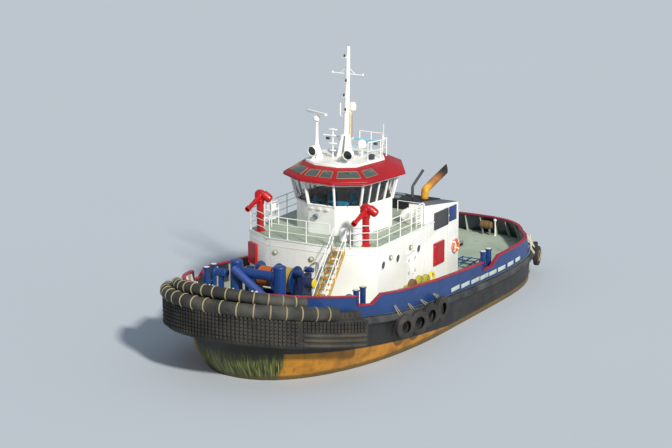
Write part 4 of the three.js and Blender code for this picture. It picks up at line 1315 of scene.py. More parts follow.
@dataclass
class Hull:
    """Hull, bulwark, cap rail and skeg, with the side plates, the inner stays and the freeing ports."""

    plates: tuple = ((-1.61, -0.72), (-2.74, -1.84), (-3.90, -2.97), (-4.94, -4.01), (-5.89, -5.06),
                     (-6.95, -6.10), (-7.98, -7.25), (-8.95, -8.30))
    plate_height: float = 0.21
    plate_below: float = 0.80
    stays: tuple = (10.6, 9.6, 8.6, 5.2, 4.0, 2.8, 1.6, 0.4, -0.8, -2.0, -3.2, -6.6, -7.6, -8.6, -9.6, -10.6,
                    -11.6, -12.5, -13.2)
    transom_stays: tuple = (0.47, 1.42, 2.35)
    stay_foot: float = 0.30
    stay_head: float = 0.07
    stay_thickness: float = 0.016
    bulwark_inside: float = -0.10
    port_places: tuple = (-7.1, -9.1, -11.1, 3.4, 1.0, -1.4)

    def shell(self) -> None:
        """Dresses the hull, the bulwark, the cap rail and the skeg."""
        skin("hull", "hull_shell", HULL_PAINT, 0, angle=28)
        skin("bulwark", "bulwark_shell", BULWARK_PAINT, 0.006, 1)
        skin("cap_rail", "cap_rail_bar", RAIL_PAINT, 0.014)
        skin("skeg", "skeg_plate", BOTTOM, 0.02)

    def white_plates(self) -> None:
        """Adds the row of white plates above the side fender."""
        made = []
        for low, high in self.plates:
            middle, half, rise = (low + high) / 2, (high - low) / 2, self.plate_height / 2
            one = block((-half, -0.012, -rise), (half, 0.018, rise), 0.008)
            one.data.transform(LINES.stand(middle, 0.0, LINES.rail(middle) - self.plate_below))
            made.append(one)
        both_sides("side_plates", PLATE, made)

    def inner_stays(self) -> None:
        """Adds the triangular stays inside the bulwark."""
        made = []
        run, power = LINES.run - LINES.stern, LINES.stern_power
        shares = [1 - (y / LINES.half) ** power for y in self.transom_stays]
        transom = [LINES.run - run * share ** (1 / power) for share in shares]
        for x in (*self.stays, *transom):
            foot, top = LINES.deck(x) - 0.02, LINES.rail(x) - 0.13
            face, lean = self.bulwark_inside, LINES.lean(x)
            corners = ((0, foot), (-self.stay_foot, foot), (-self.stay_foot, foot + 0.08),
                       (-self.stay_head - lean, top), (-lean, top))
            push = LINES.ahead(x) * self.stay_thickness
            outline = [LINES.beside(x, face + out, z) - push / 2 for out, z in corners]
            made.append(prism(outline, push, 0.003))
        both_sides("bulwark_stays", STAY_PAINT, made)

    def freeing_ports(self) -> None:
        """Adds the framed freeing ports low in the bulwark's inner face."""
        template = block((-0.32, -0.02, 0.06), (0.32, 0.02, 0.30), 0.02)
        spots = [LINES.stand(x, self.bulwark_inside - 0.005, LINES.deck(x)) for x in self.port_places]
        both_sides("freeing_ports", STAY_PAINT, copies(template, spots))

    def build(self) -> None:
        """Builds the hull's dress."""
        self.shell()
        self.white_plates()
        self.inner_stays()
        self.freeing_ports()


@dataclass
class BowFenders:
    """The two rubber cylinders, their lashings and shackles, and the ribbed block fender below."""

    upper_radius: float = 0.28
    upper_scale: float = 8.96
    upper_marks: tuple = (0.61, 1.25, 1.94, 2.62, 3.27, 3.95, 4.65, 5.28, 5.95, 6.62, 7.29, 7.96, 8.5)
    lower_radius: float = 0.33
    lower_scale: float = 12.75
    lower_marks: tuple = (0.59, 1.26, 2.01, 2.77, 3.52, 4.29, 5.08, 5.89, 6.76, 7.48, 8.25, 9.02, 9.79, 10.56,
                          11.33, 12.1)
    rounded_end: float = 0.09
    rope_radius: float = 0.015
    lug_pitch: float = 0.195
    lug_rows: int = 7
    lug_rows_cut: int = 4
    lug_low: float = -2.29
    lug_high: float = -1.06
    joint: float = 3.6
    bar_heights: tuple = (-1.74, -1.98, -2.22)
    bar_radius: float = 0.085
    rib_pitch: float = 0.30
    rib_below: float = -0.84

    def cylinder(self, name: str, points: list[Vector], radius: float, marks: Sequence[float],
                 scale: float) -> list[list[Vector]]:
        """Makes one rubber cylinder with rounded ends, in place of the CAD one.

        Args:
            name: The CAD node.
            points: Its centre line, from port.
            radius: Its radius.
            marks: Where its ropes are.
            scale: Length that the marks are measured on.

        Returns:
            The lines of the ropes round it.
        """
        total = travel(points)
        near = [min(walked, total[-1] - walked, self.rounded_end) / self.rounded_end for walked in total]
        radii = [1 - 0.35 * (1 - math.sqrt(1 - (1 - share) ** 2)) for share in near]
        place(name + "_rubber", FENDER, tubes([points], radius, 32, radii=radii), replaces=name)
        walks = [mark / scale * total[-1] + side for mark in marks for side in (-0.016, 0.016)]
        return [girdle(*point_on(points, walked), radius + 0.009) for walked in walks]

    def cylinders(self) -> None:
        """Makes both cylinders and their ropes."""
        upper = LINES.round_bow(10.8, 0.2653, 0.26, 0.16, 220)
        lower = LINES.round_bow(9.7, 0.73, 0.66, 0.0, 280)
        lines = self.cylinder("bow_fender_upper", upper, self.upper_radius, self.upper_marks,
                              self.upper_scale)
        lines += self.cylinder("bow_fender_lower", lower, self.lower_radius, self.lower_marks,
                               self.lower_scale)
        place("fender_lashings", LASHING, tubes(lines, self.rope_radius))

    def block_fender(self) -> None:
        """Dresses the block fender, and covers its face with rows of lugs and with bars."""
        skin("bow_block_fender", "bow_block_body", BLOCK, 0.02)
        face = LINES.round_bow(8.35, 0.885, 0.0, 0.0, 300)
        length = travel(face)[-1]
        count = int(length / self.lug_pitch)
        pitch = (self.lug_high - self.lug_low) / self.lug_rows
        spots = []
        for k in range(count):
            walked = (k + 0.5) * length / count
            from_end = min(walked, length - walked)
            if abs(from_end - self.joint) >= 0.11:
                rows = range(self.lug_rows_cut if from_end < self.joint else 0, self.lug_rows)
                spots += [hung(face, walked, self.lug_low + (row + 0.5) * pitch) for row in rows]
        lug = block((-0.064, -0.085, -pitch * 0.43), (0.064, 0.01, pitch * 0.43), 0.024)
        place("block_lugs", BLOCK, copies(lug, spots))
        line = [p for p, walked in zip(face, travel(face)) if walked < self.joint - 0.12]
        bars = [[Vector((p.x, p.y, LINES.rail(p.x) + below)) for p in line] for below in self.bar_heights]
        both_sides("block_bars", BLOCK_BAR, tubes(bars, self.bar_radius, 12))

    def upper_lugs(self) -> None:
        """Adds the small upright ribs on the block's upper step."""
        face = LINES.round_bow(8.4, 0.385, 0.0, 0.0, 300)
        length = travel(face)[-1]
        count = int(length / self.rib_pitch)
        rib = block((-0.05, -0.03, -0.09), (0.05, 0.035, 0.09), 0.015)
        spots = [hung(face, (k + 0.5) * length / count, self.rib_below) for k in range(count)]
        place("step_ribs", BLOCK, copies(rib, spots))

    def shackles(self) -> None:
        """Adds the white rope shackles on the rail round the bow."""
        edge = LINES.round_bow(10.9, -0.07, -0.02, 0.0, 120)
        length = travel(edge)[-1]
        bow = tubes([ring((0, 0, 0.02), ACROSS, 0.038, 14)], 0.016, cyclic=True)
        template = join([bow, rod((-0.05, 0, 0.0), (0.05, 0, 0.0), 0.016)])
        marks = [mark / self.upper_scale * length for mark in self.upper_marks[3::2]]
        walks = [min(length - 0.05, max(0.05, mark + side)) for mark in marks for side in (-0.1, 0.1)]
        spots = [frame_at(*point_on(edge, walked)) for walked in walks]
        place("rail_shackles", WHITE, copies(template, spots))

    def build(self) -> None:
        """Builds the bow's fenders."""
        self.cylinders()
        self.block_fender()
        self.upper_lugs()
        self.shackles()


@dataclass
class SideFenders:
    """The side fender, the hanging tyres and the ropes that hold them."""

    outer: float = 0.60
    inner: float = 0.30
    width: float = 0.32
    spots: tuple = ((4.92, 5.458, 1.66), (3.52, 5.458, 1.51), (2.28, 5.458, 1.54), (1.06, 5.458, 1.60))
    tilts: tuple = (-17, -19, -12, 0)
    rope_tops: tuple = ((5.30, 2.75), (3.90, 2.50), (2.62, 2.38), (1.25, 2.34))
    quarter_places: tuple = (-11.90, -12.65)
    quarter_z: float = 1.15
    quarter_outer: float = 0.53
    quarter_inner: float = 0.27
    quarter_width: float = 0.29
    quarter_tilt: float = -12.0

    def tyre(self, outer: float, inner: float, width: float) -> Object:
        """One tyre at the origin, its axle along Y, with tread grooves and a hollow inside.

        Args:
            outer: Outer radius.
            inner: Radius at the bead.
            width: Width of the tread.

        Returns:
            The tyre.
        """
        half, groove = width / 2, 0.014
        wall = [(inner, 0.72), (inner + 0.02, 0.95), (inner + 0.09, 1), (outer - 0.10, 1),
                (outer - 0.03, 0.86), (outer, 0.62)]
        tread = [(outer - deep, h + off) for h in (-0.42, 0.0, 0.42)
                 for deep, off in ((0, -0.07), (groove, -0.05), (groove, 0.05), (0, 0.07))]
        hollow = [(inner + 0.03, 0.62), (outer - 0.10, 0.74), (outer - 0.05, 0.4), (outer - 0.05, -0.4),
                  (outer - 0.10, -0.74), (inner + 0.03, -0.62)]
        steps = [(radius, -share) for radius, share in wall] + tread + wall[::-1] + hollow
        profile = [(radius, share * half) for radius, share in steps]
        return turned(profile, (0, 0, 0), ACROSS, 48, closed=True)

    def rows(self) -> None:
        """Hangs the four tyres on each side."""
        template = self.tyre(self.outer, self.inner, self.width)
        moves = [Matrix.Translation(spot) @ Matrix.Rotation(math.radians(tilt), 4, "Z")
                 for spot, tilt in zip(self.spots, self.tilts)]
        both_sides("side_tyres", TYRE, copies(template, moves), "tyres")
        lines = []
        for (x, y, z), (top_x, top_z) in zip(self.spots, self.rope_tops):
            for gap in (-0.05, 0.05):
                bead = z + self.inner
                lines.append([(top_x + gap, 5.10, top_z), (x + gap * 2 + (top_x - x) * 0.2, 5.22, z + 0.62),
                              (x + gap, y - 0.02, bead + 0.03), (x + gap, y - 0.14, bead - 0.02)])
        both_sides("tyre_ropes", LASHING, tubes(lines, 0.018))

    def quarters(self) -> None:
        """Hangs the two tyres at each quarter, with their lashings."""
        template = self.tyre(self.quarter_outer, self.quarter_inner, self.quarter_width)
        moves, lines = [], []
        for x in self.quarter_places:
            out = 0.20 + self.quarter_width / 2
            spot, ahead = LINES.beside(x, out, self.quarter_z), LINES.ahead(x)
            moves.append(frame_at(spot, ahead) @ Matrix.Rotation(math.radians(self.quarter_tilt), 4, "Z"))
            for gap in (-0.16, -0.1, 0.1, 0.16):
                top = LINES.beside(x, -0.04 - LINES.lean(x) * 0.8, LINES.rail(x) - 0.1) + ahead * gap
                mid = LINES.beside(x, 0.15, LINES.rail(x) - 0.9) + ahead * gap * 0.8
                low = spot + Vector((0, 0, self.quarter_inner)) + ahead * gap * 0.5
                lines.append([top, mid, low])
        circles = [ring((0, shift, 0), ACROSS, self.quarter_inner + 0.01) for shift in (-0.12, 0.12)]
        both_sides("stern_tyre_rims", LASHING, copies(tubes(circles, 0.032, cyclic=True), moves))
        both_sides("stern_tyres", TYRE, copies(template, moves), "quarter_tyres")
        for x in (-11.05, -11.2, -11.35):
            top = LINES.beside(x, -0.02, LINES.rail(x) - 0.10)
            lines.append([top, LINES.beside(x, 0.06, 1.75), LINES.beside(x - 0.12, 0.22, 1.45)])
        both_sides("stern_tyre_ropes", ROPE_WHITE, tubes(lines, 0.02))

    def build(self) -> None:
        """Builds the side fenders."""
        skin("side_fender", "side_fender_rubber", SIDE_RUBBER, 0.03)
        self.rows()
        self.quarters()


# Foredeck


@dataclass
class Foredeck:
    """Winch, towing staple, the gear between them, and the bitts of both decks."""

    drum: Point = (7.55, 0.0, 3.95)
    rope: float = 0.038
    core: float = 0.335
    staple_x: float = 9.4
    staple_y: float = 1.19
    staple_top: float = 5.12
    bitts_fore: tuple = (7.05, 4.15, 3.9)
    bitts_aft: tuple = (-5.75, 4.55, 2.9)

    def winch(self) -> None:
        """Dresses the winch's frame and turns its drum with rope laid on it."""
        skin("winch_frame", "winch_housings", DARK_BLUE, 0.02)
        profile = [(0.10, -1.14), (0.30, -1.13), (0.30, -1.09), (0.68, -1.08), (0.70, -1.06), (0.70, -1.03),
                   (0.68, -1.01), (0.33, -1.01), (0.33, -0.08), (0.68, -0.07), (0.70, -0.05), (0.70, -0.02),
                   (0.68, 0.0), (0.33, 0.01), (0.33, 0.94), (0.68, 0.95), (0.70, 0.97), (0.70, 1.0),
                   (0.68, 1.02), (0.30, 1.03), (0.30, 1.12), (0.10, 1.14)]
        body = turned(profile, self.drum, ACROSS, 48)
        place("winch_drum_body", GEAR_BLUE, body, "winch_drum", "winch_drum")
        self.rope_on_drum("drum_rope_port", ROPE_TAN, 0.06, 0.90, 0.54)
        self.rope_on_drum("drum_rope_starboard", ROPE_ORANGE, -0.97, -0.12, 0.45)

    def rope_on_drum(self, name: str, finish: Finish, low: float, high: float, radius: float) -> None:
        """Lays a wound coil of towing rope between two flanges.

        Args:
            name: The piece's name.
            finish: The rope's finish.
            low: Its start across the boat.
            high: Its end.
            radius: Radius of the coil's middle line of rope.
        """
        rope = self.rope
        count = int((high - low) / (2 * rope))
        profile = [(self.core, low)]
        for k in range(count):
            middle = low + (k + 0.5) * (high - low) / count
            profile += [(radius, middle - rope * 0.95), (radius + rope * 0.7, middle - rope * 0.6),
                        (radius + rope, middle), (radius + rope * 0.7, middle + rope * 0.6)]
        profile += [(radius, high), (self.core, high)]
        place(name, finish, turned(profile, self.drum, ACROSS, 40), "winch_drum", angle=70)

    def winch_details(self) -> None:
        """Adds the coloured end caps with their bolts, the motors and their pipes."""
        x, _, z = self.drum
        cap = [(0.02, 0), (0.20, 0), (0.22, 0.02), (0.22, 0.05), (0.16, 0.08), (0.02, 0.08)]
        place("winch_gear_cap", YELLOW, turned(cap, (x, 1.94, z), ACROSS))
        end = [(0.02, 0), (0.30, 0), (0.34, 0.03), (0.34, 0.08), (0.24, 0.12), (0.02, 0.12)]
        place("winch_brake_cap", ORANGE, turned(end, (x, -1.70, z), (0, -1, 0)))
        bolt = turned([(0.002, 0), (0.018, 0), (0.018, 0.018), (0.002, 0.02)], (0, 0, 0), ACROSS, 6)
        moves = [Matrix.Translation((x + 0.175 * c, 1.99, z + 0.175 * s)) for c, s in angles(10)]
        place("winch_bolts", STEEL, copies(bolt, moves))
        motors = []
        for x, low, high in ((7.10, 1.22, 1.66), (7.95, 1.22, 1.60)):
            profile = [(0.02, low), (0.13, low), (0.14, low + 0.03), (0.14, high - 0.12), (0.11, high - 0.10),
                       (0.11, high), (0.02, high)]
            motors.append(turned(profile, (x, 0, 4.44), ACROSS, 28))
        place("winch_motors", GEAR_BLUE, motors)
        pipes = []
        for x, y in ((7.10, 1.50), (7.22, 1.57), (7.95, 1.64)):
            pipes.append([(x, y, 4.55), (x, y, 4.66), (x - 0.10, y, 4.70), (6.62, y, 4.70), (6.55, y, 4.62),
                          (6.55, y, LINES.deck(6.55))])
        place("winch_pipes", STEEL, tubes(pipes, 0.022))

    def staple(self) -> None:
        """Turns the towing staple: two posts, the cross bar and the slanted brace."""
        base, top = LINES.deck(self.staple_x), self.staple_top
        profile = [(0.36, base - 0.01), (0.36, base + 0.03), (0.29, base + 0.05), (0.29, top - 0.16),
                   (0.305, top - 0.15), (0.305, top - 0.06), (0.28, top - 0.02), (0.22, top), (0.02, top)]
        posts = [turned(profile, (self.staple_x, y, 0), UP, 40) for y in (-self.staple_y, self.staple_y)]
        place("staple_posts", GEAR_BLUE, posts, replaces="towing_staple")
        bar = [(0.30, -1.02), (0.30, -0.96), (0.23, -0.90), (0.23, 0.90), (0.30, 0.96), (0.30, 1.02)]
        place("staple_bar", GEAR_BLUE, turned(bar, (self.staple_x, 0, 4.56), ACROSS, 36))
        place("staple_brace", PALE_BLUE, rod((9.73, -1.19, 4.79), (9.73, 1.28, 3.11), 0.19, 32))

    def bitts(self, node: str, x: float, y: float, top: float) -> None:
        """Turns one pair of bitts a side, with their bar, foot plate and pale caps.

        Args:
            node: CAD node without its side.
            x: Middle of the pair.
            y: Distance off the centreline.
            top: Height of the caps.
        """
        base = LINES.deck(x)
        profile = [(0.14, base - 0.01), (0.14, top - 0.09), (0.172, top - 0.07), (0.176, top - 0.03),
                   (0.15, top), (0.02, top)]
        lid = [(0.02, 0), (0.145, 0), (0.14, 0.006), (0.02, 0.008)]
        posts = [turned(profile, (x + shift, y, 0)) for shift in (-0.33, 0.33)]
        caps = [turned(lid, (x + shift, y, top)) for shift in (-0.33, 0.33)]
        posts.append(rod((x - 0.52, y, base + 0.45), (x + 0.52, y, base + 0.45), 0.055))
        posts.append(block((x - 0.58, y - 0.22, base - 0.01), (x + 0.58, y + 0.22, base + 0.022), 0.01))
        both_sides(node + "_posts", GEAR_BLUE, posts, node)
        both_sides(node + "_caps", SHADE_WHITE, caps)

    def deck_gear(self) -> None:
        """Adds a roller on its leg by the bow, and two vents."""
        profile = [(0.05, -0.34), (0.20, -0.34), (0.22, -0.30), (0.19, -0.24), (0.19, 0.24), (0.22, 0.30),
                   (0.20, 0.34), (0.05, 0.34)]
        roller = turned(profile, (9.55, -1.95, 4.42), ACROSS)
        leg = block((9.43, -2.05, LINES.deck(9.5) - 0.01), (9.67, -1.85, 4.25), 0.02)
        place("bow_roller", GEAR_BLUE, [roller, leg])
        vent = [(0.16, -0.01), (0.16, 0.02), (0.11, 0.03), (0.11, 0.5), (0.19, 0.53), (0.20, 0.62),
                (0.13, 0.70), (0.01, 0.72)]
        vents = [turned(vent, (x, y, LINES.deck(x)), UP, 28) for x, y in ((6.15, -2.6), (6.15, 3.1))]
        place("deck_vents", GEAR_BLUE, vents)

    def build(self) -> None:
        """Builds the foredeck, and the bitts on both decks."""
        self.winch()
        self.winch_details()
        self.staple()
        self.bitts("bitts_fore", *self.bitts_fore)
        self.deck_gear()
        self.bitts("bitts_aft", *self.bitts_aft)


# Deckhouse


@dataclass
class Deckhouse:
    """Deckhouse walls and doors with the windows, lamps, boxes, ladder, rails and stair on them."""

    side: float = 3.60
    front: float = 5.20
    aft: float = -4.45
    portholes_x: tuple = (3.7, 2.2, 0.0)
    portholes_z: float = 4.15
    ring_centre: Point = (-4.02, 3.675, 3.41)
    ring_radius: float = 0.285
    door_x: float = 0.78
    sill_rise: float = 0.25
    door_height: float = 1.97
    front_rail: tuple = ((-0.4, -3.55), (0.7, -3.55), (1.85, -3.55), (3.0, -3.55), (4.2, -3.55),
                         (5.15, -1.92), (5.15, -0.9), (5.15, 0.15), (5.15, 1.45))
    port_rail: tuple = ((4.95, 2.48), (4.2, 3.55), (3.0, 3.55), (1.85, 3.55), (0.7, 3.55), (-0.4, 3.55))
    rail_height: float = 1.05
    stair_y: float = 2.05
    stair_half: float = 0.33
    stair_top: tuple = (5.24, 5.14)
    stair_foot: float = 7.25
    treads: int = 11

    def walls(self) -> None:
        """Dresses the four walls and the boat deck."""
        for side in ("port", "starboard", "front", "aft"):
            skin(f"deckhouse_{side}_wall", f"{side}_wall_plating", WHITE)
        skin("boat_deck", "boat_deck_plating", DECK_TOP)

    def portholes(self) -> None:
        """Adds the round windows with their rims."""
        rim = [(0.19, -0.01), (0.235, -0.01), (0.235, 0.02), (0.22, 0.035), (0.20, 0.035), (0.19, 0.02)]
        pane = [(0.01, -0.005), (0.195, -0.005), (0.19, 0.006), (0.01, 0.01)]
        spots = [(x, self.side, self.portholes_z) for x in self.portholes_x]
        rims = [turned(rim, spot, ACROSS, 36, closed=True) for spot in spots]
        panes = [turned(pane, spot, ACROSS, 36) for spot in spots]
        both_sides("porthole_rims", WHITE, rims)
        both_sides("porthole_panes", PORTLIGHT, panes)

    def boxes(self) -> None:
        """Adds the red cabinet and locker, the louvre and the plain panel."""
        wall = self.side
        low, high = (-2.70, wall - 0.01, 2.87), (-1.62, wall + 0.10, 4.02)
        place("red_cabinet", RED, panel(low, high, 0.012, ACROSS, (0.006, -0.012), (0.02, 0.014)))
        x, y = -1.65, wall + 0.112
        fittings = [rod((x, y, z), (x, y, z + 0.09), 0.016) for z in (3.07, 3.82)]
        fittings.append(block((-2.63, wall + 0.10, 3.385), (-2.60, wall + 0.13, 3.505), 0.008))
        place("red_cabinet_fittings", STEEL, fittings)
        locker = panel((-0.37, -0.02, -0.53), (0.37, 0.14, 0.53), 0.012, ACROSS, (0.01, -0.012))
        locker.data.transform(frame_at(Vector((4.47, -3.22, 4.05)), Vector((-0.95, -1.65, 0))))
        place("red_locker", RED, locker)
        low, high = (-3.16, wall - 0.02, 4.72), (-1.68, wall + 0.075, 5.58)
        place("louvre_frame", DARK_GREY, panel(low, high, 0.01, ACROSS, (0.004, -0.05)))
        slat = [(-0.68, 0.0, -0.03), (-0.68, 0.04, -0.06), (-0.68, 0.046, -0.05), (-0.68, 0.008, 0.03)]
        moves = [Matrix.Translation((-2.42, wall + 0.027, 4.82 + 0.076 * k)) for k in range(10)]
        place("louvre_slats", DARK_GREY, copies(prism(slat, (1.36, 0, 0), 0.002), moves))
        place("plain_panel", GEAR_BLUE, block((-4.12, wall - 0.01, 4.80), (-3.34, wall + 0.045, 5.56), 0.006))

    def life_ring(self) -> None:
        """Hangs the orange life ring with its grab line on its bracket."""
        centre, radius, wall = Vector(self.ring_centre), self.ring_radius, self.side
        profile = [(radius + 0.075 * c, 0.055 * s) for c, s in angles(14)]
        place("life_ring", ORANGE, turned(profile, centre, ACROSS, 44, closed=True))
        bands, line = [], []
        for k in range(4):
            bands.append([centre + Vector((radius * c, 0, radius * s)) for c, s in angles(5, 39 + 90 * k, 3)])
            for step, (c, s) in enumerate(angles(9, 45 + 90 * k, 10)):
                slack = 0.372 + 0.03 * math.sin(math.pi * step / 8)
                line.append(centre + Vector((slack * c, 0.01, slack * s)))
        place("life_ring_bands", WHITE, tubes(bands, 0.079, 16))
        place("life_ring_line", ROPE_WHITE, tubes([line], 0.009, cyclic=True))
        hook = block((-4.08, wall - 0.01, 3.05), (-3.96, wall + 0.12, 3.09), 0.01)
        top = block((-4.06, wall - 0.01, 3.79), (-3.98, wall + 0.03, 3.86), 0.008)
        place("life_ring_bracket", WHITE, [hook, top])

    def lamps(self) -> None:
        """Adds the round deck lamps on all four walls."""
        housing = [(0.03, -0.01), (0.11, -0.01), (0.12, 0.02), (0.12, 0.09), (0.105, 0.10), (0.10, 0.075),
                   (0.02, 0.07)]
        glass = [(0.01, 0.07), (0.102, 0.072), (0.09, 0.10), (0.05, 0.118), (0.01, 0.122)]
        spots = [((self.front, -1.52, 4.50), AHEAD), ((self.front, 0.51, 4.42), AHEAD)]
        for side in Side:
            across = (0, side.value, 0)
            spots += [((x, side.value * self.side, z), across) for x, z in ((2.99, 4.38), (0.90, 4.42))]
        spots += [((self.aft, y, 4.60), (-1, 0, 0)) for y in (2.45, -2.45)]
        place("lamp_housings", GREY, [turned(housing, spot, normal, 28) for spot, normal in spots])
        place("lamp_glasses", LAMP, [turned(glass, spot, normal, 28) for spot, normal in spots])

    def doors(self) -> None:
        """Dresses the doors, with dogs on the side doors' leaves and gutters over them."""
        for door in ("deckhouse_port", "deckhouse_starboard", "deckhouse_aft", "wheelhouse"):
            node = door + "_door"
            skin(node, node + "_leaf", WHITE, body=node)
        sill = LINES.deck(self.door_x) + self.sill_rise
        dog = [(0.005, 0), (0.022, 0), (0.022, 0.035), (0.005, 0.04)]
        for side in Side:
            sign, face = side.value, side.value * (self.side + 0.045)
            dogs = []
            for x in (0.46, 1.10):
                for z in (sill + 0.3, sill + 0.95, sill + 1.6):
                    dogs.append(turned(dog, (x, face, z), (0, sign, 0), 14))
                    low = (x - 0.012, face + sign * 0.02, z - 0.01)
                    dogs.append(block(low, (x + 0.012, face + sign * 0.04, z + 0.13), 0.005))
            place(f"{side.word}_door_dogs", STEEL, dogs, f"deckhouse_{side.word}_door")
        head, wall = sill + self.door_height, self.side
        line = [(0.28, wall + 0.03, head), (0.78, wall + 0.07, head + 0.09), (1.28, wall + 0.03, head)]
        both_sides("door_gutters", WHITE, tubes([line], 0.018))

    def strips(self) -> None:
        """Adds pipes on the side walls and a rubbing strip round the front."""
        side, front = self.side, self.front + 0.004
        bends = (-0.95, 5.1), (-0.95, 4.3), (-0.80, 3.6), (-0.45, 2.9), (-0.30, 2.2)
        lines = [[(-3.15, side + 0.012, z) for z in (1.72, 3.2, 5.15)]]
        lines.append([(x, side + 0.02, z) for x, z in bends])
        both_sides("wall_pipes", SHADE_WHITE, tubes(lines, 0.014))
        corners = (4.25, side + 0.004), (front, 1.95), (front, -1.95), (4.25, -side - 0.004)
        place("front_strip", SHADE_WHITE, tubes([[(x, y, 4.78) for x, y in corners]], 0.014))

    def aft_gear(self) -> None:
        """Adds louvres, a ladder, a gutter and pipes on the aft wall."""
        wall = self.aft
        for side in Side:
            y = side.value * 1.9
            body = panel((wall - 0.05, y - 0.45, 3.35), (wall + 0.01, y + 0.45, 4.25), 0.01, (-1, 0, 0),
                         (0.004, -0.035))
            corners = (-0.018, 0.03), (-0.046, -0.03), (-0.040, -0.035), (-0.012, 0.024)
            slat = prism([(wall + out, y - 0.39, rise) for out, rise in corners], (0, 0.78, 0), 0.0)
            moves = [Matrix.Translation((0, 0, 3.45 + 0.078 * k)) for k in range(10)]
            place(f"aft_louvre_{side.word}", SHADE_WHITE, [body, *copies(slat, moves)])
        foot, out, ends = LINES.deck(wall), wall - 0.16, (-3.16, -2.80)
        ladder = [[(out, y, foot), (out, y, 5.35), (wall + 0.05, y, 5.50)] for y in ends]
        ladder += [[(wall + 0.01, y, z), (out, y, z)] for y in ends for z in (2.3, 4.6)]
        rungs = [[(out, y, foot + 0.3 * k) for y in ends] for k in range(1, 13)]
        place("aft_ladder", RAIL_WHITE, [tubes(ladder, 0.022), tubes(rungs, 0.014)])
        sill = foot + 2.27
        lines = [[(wall - 0.02, -0.55, sill), (wall - 0.08, 0.0, sill + 0.08), (wall - 0.02, 0.55, sill)]]
        lines += [[(wall - 0.03, y, foot), (wall - 0.03, y, top)] for y, top in ((3.25, 5.0), (1.15, 5.2))]
        place("aft_pipes", SHADE_WHITE, tubes(lines, 0.02))

    def railings(self) -> None:
        """Makes the boat deck's railings in place of the CAD ones."""
        for word, points in (("front", self.front_rail), ("port", self.port_rail)):
            rails = railing(points, BOAT_DECK, self.rail_height, 3, 0.017)
            place(f"{word}_railing", RAIL_WHITE, rails, replaces=f"railing_{word}")

    def stair(self) -> None:
        """Makes the front stair: yellow treads and strings with white handrails."""
        top_x, top_z = self.stair_top
        foot, foot_x = LINES.deck(self.stair_foot), self.stair_foot
        low, high = self.stair_y - self.stair_half, self.stair_y + self.stair_half
        run, drop = foot_x - top_x, top_z - foot
        strings = []
        for y in (low, high - 0.03):
            outline = [(top_x, y, top_z + 0.02), (top_x, y, top_z - 0.20), (foot_x - 0.13, y, foot),
                       (foot_x + 0.06, y, foot), (foot_x + 0.06, y, foot + 0.08)]
            strings.append(prism(outline, (0, 0.03, 0), 0.004))
        place("stair_strings", OCHRE, strings, replaces="front_stair")
        tread = block((-0.10, low + 0.028, -0.015), (0.12, high - 0.028, 0.018), 0.006)
        moves = []
        for k in range(self.treads):
            share = (k + 0.55) / self.treads
            moves.append(Matrix.Translation((top_x + run * share, 0, top_z - drop * share - 0.02)))
        place("stair_treads", OCHRE, copies(tread, moves))
        lines = []
        for y in (low - 0.02, high + 0.02):
            for height in (0.5, 0.95):
                lines.append([(top_x - 0.08, y, top_z + height), (foot_x, y, foot + height + 0.02),
                              (foot_x + 0.07, y, foot + height - 0.07)])
            for share in (0.02, 0.5, 0.97):
                x, z = top_x + run * share, top_z - drop * share
                lines.append([(x, y, z - 0.12), (x, y, z + 0.95)])
        place("stair_handrails", RAIL_WHITE, tubes(lines, 0.02))

    def build(self) -> None:
        """Builds the deckhouse."""
        self.walls()
        self.portholes()
        self.boxes()
        self.life_ring()
        self.lamps()
        self.doors()
        self.strips()
        self.aft_gear()
        self.railings()
        self.stair()


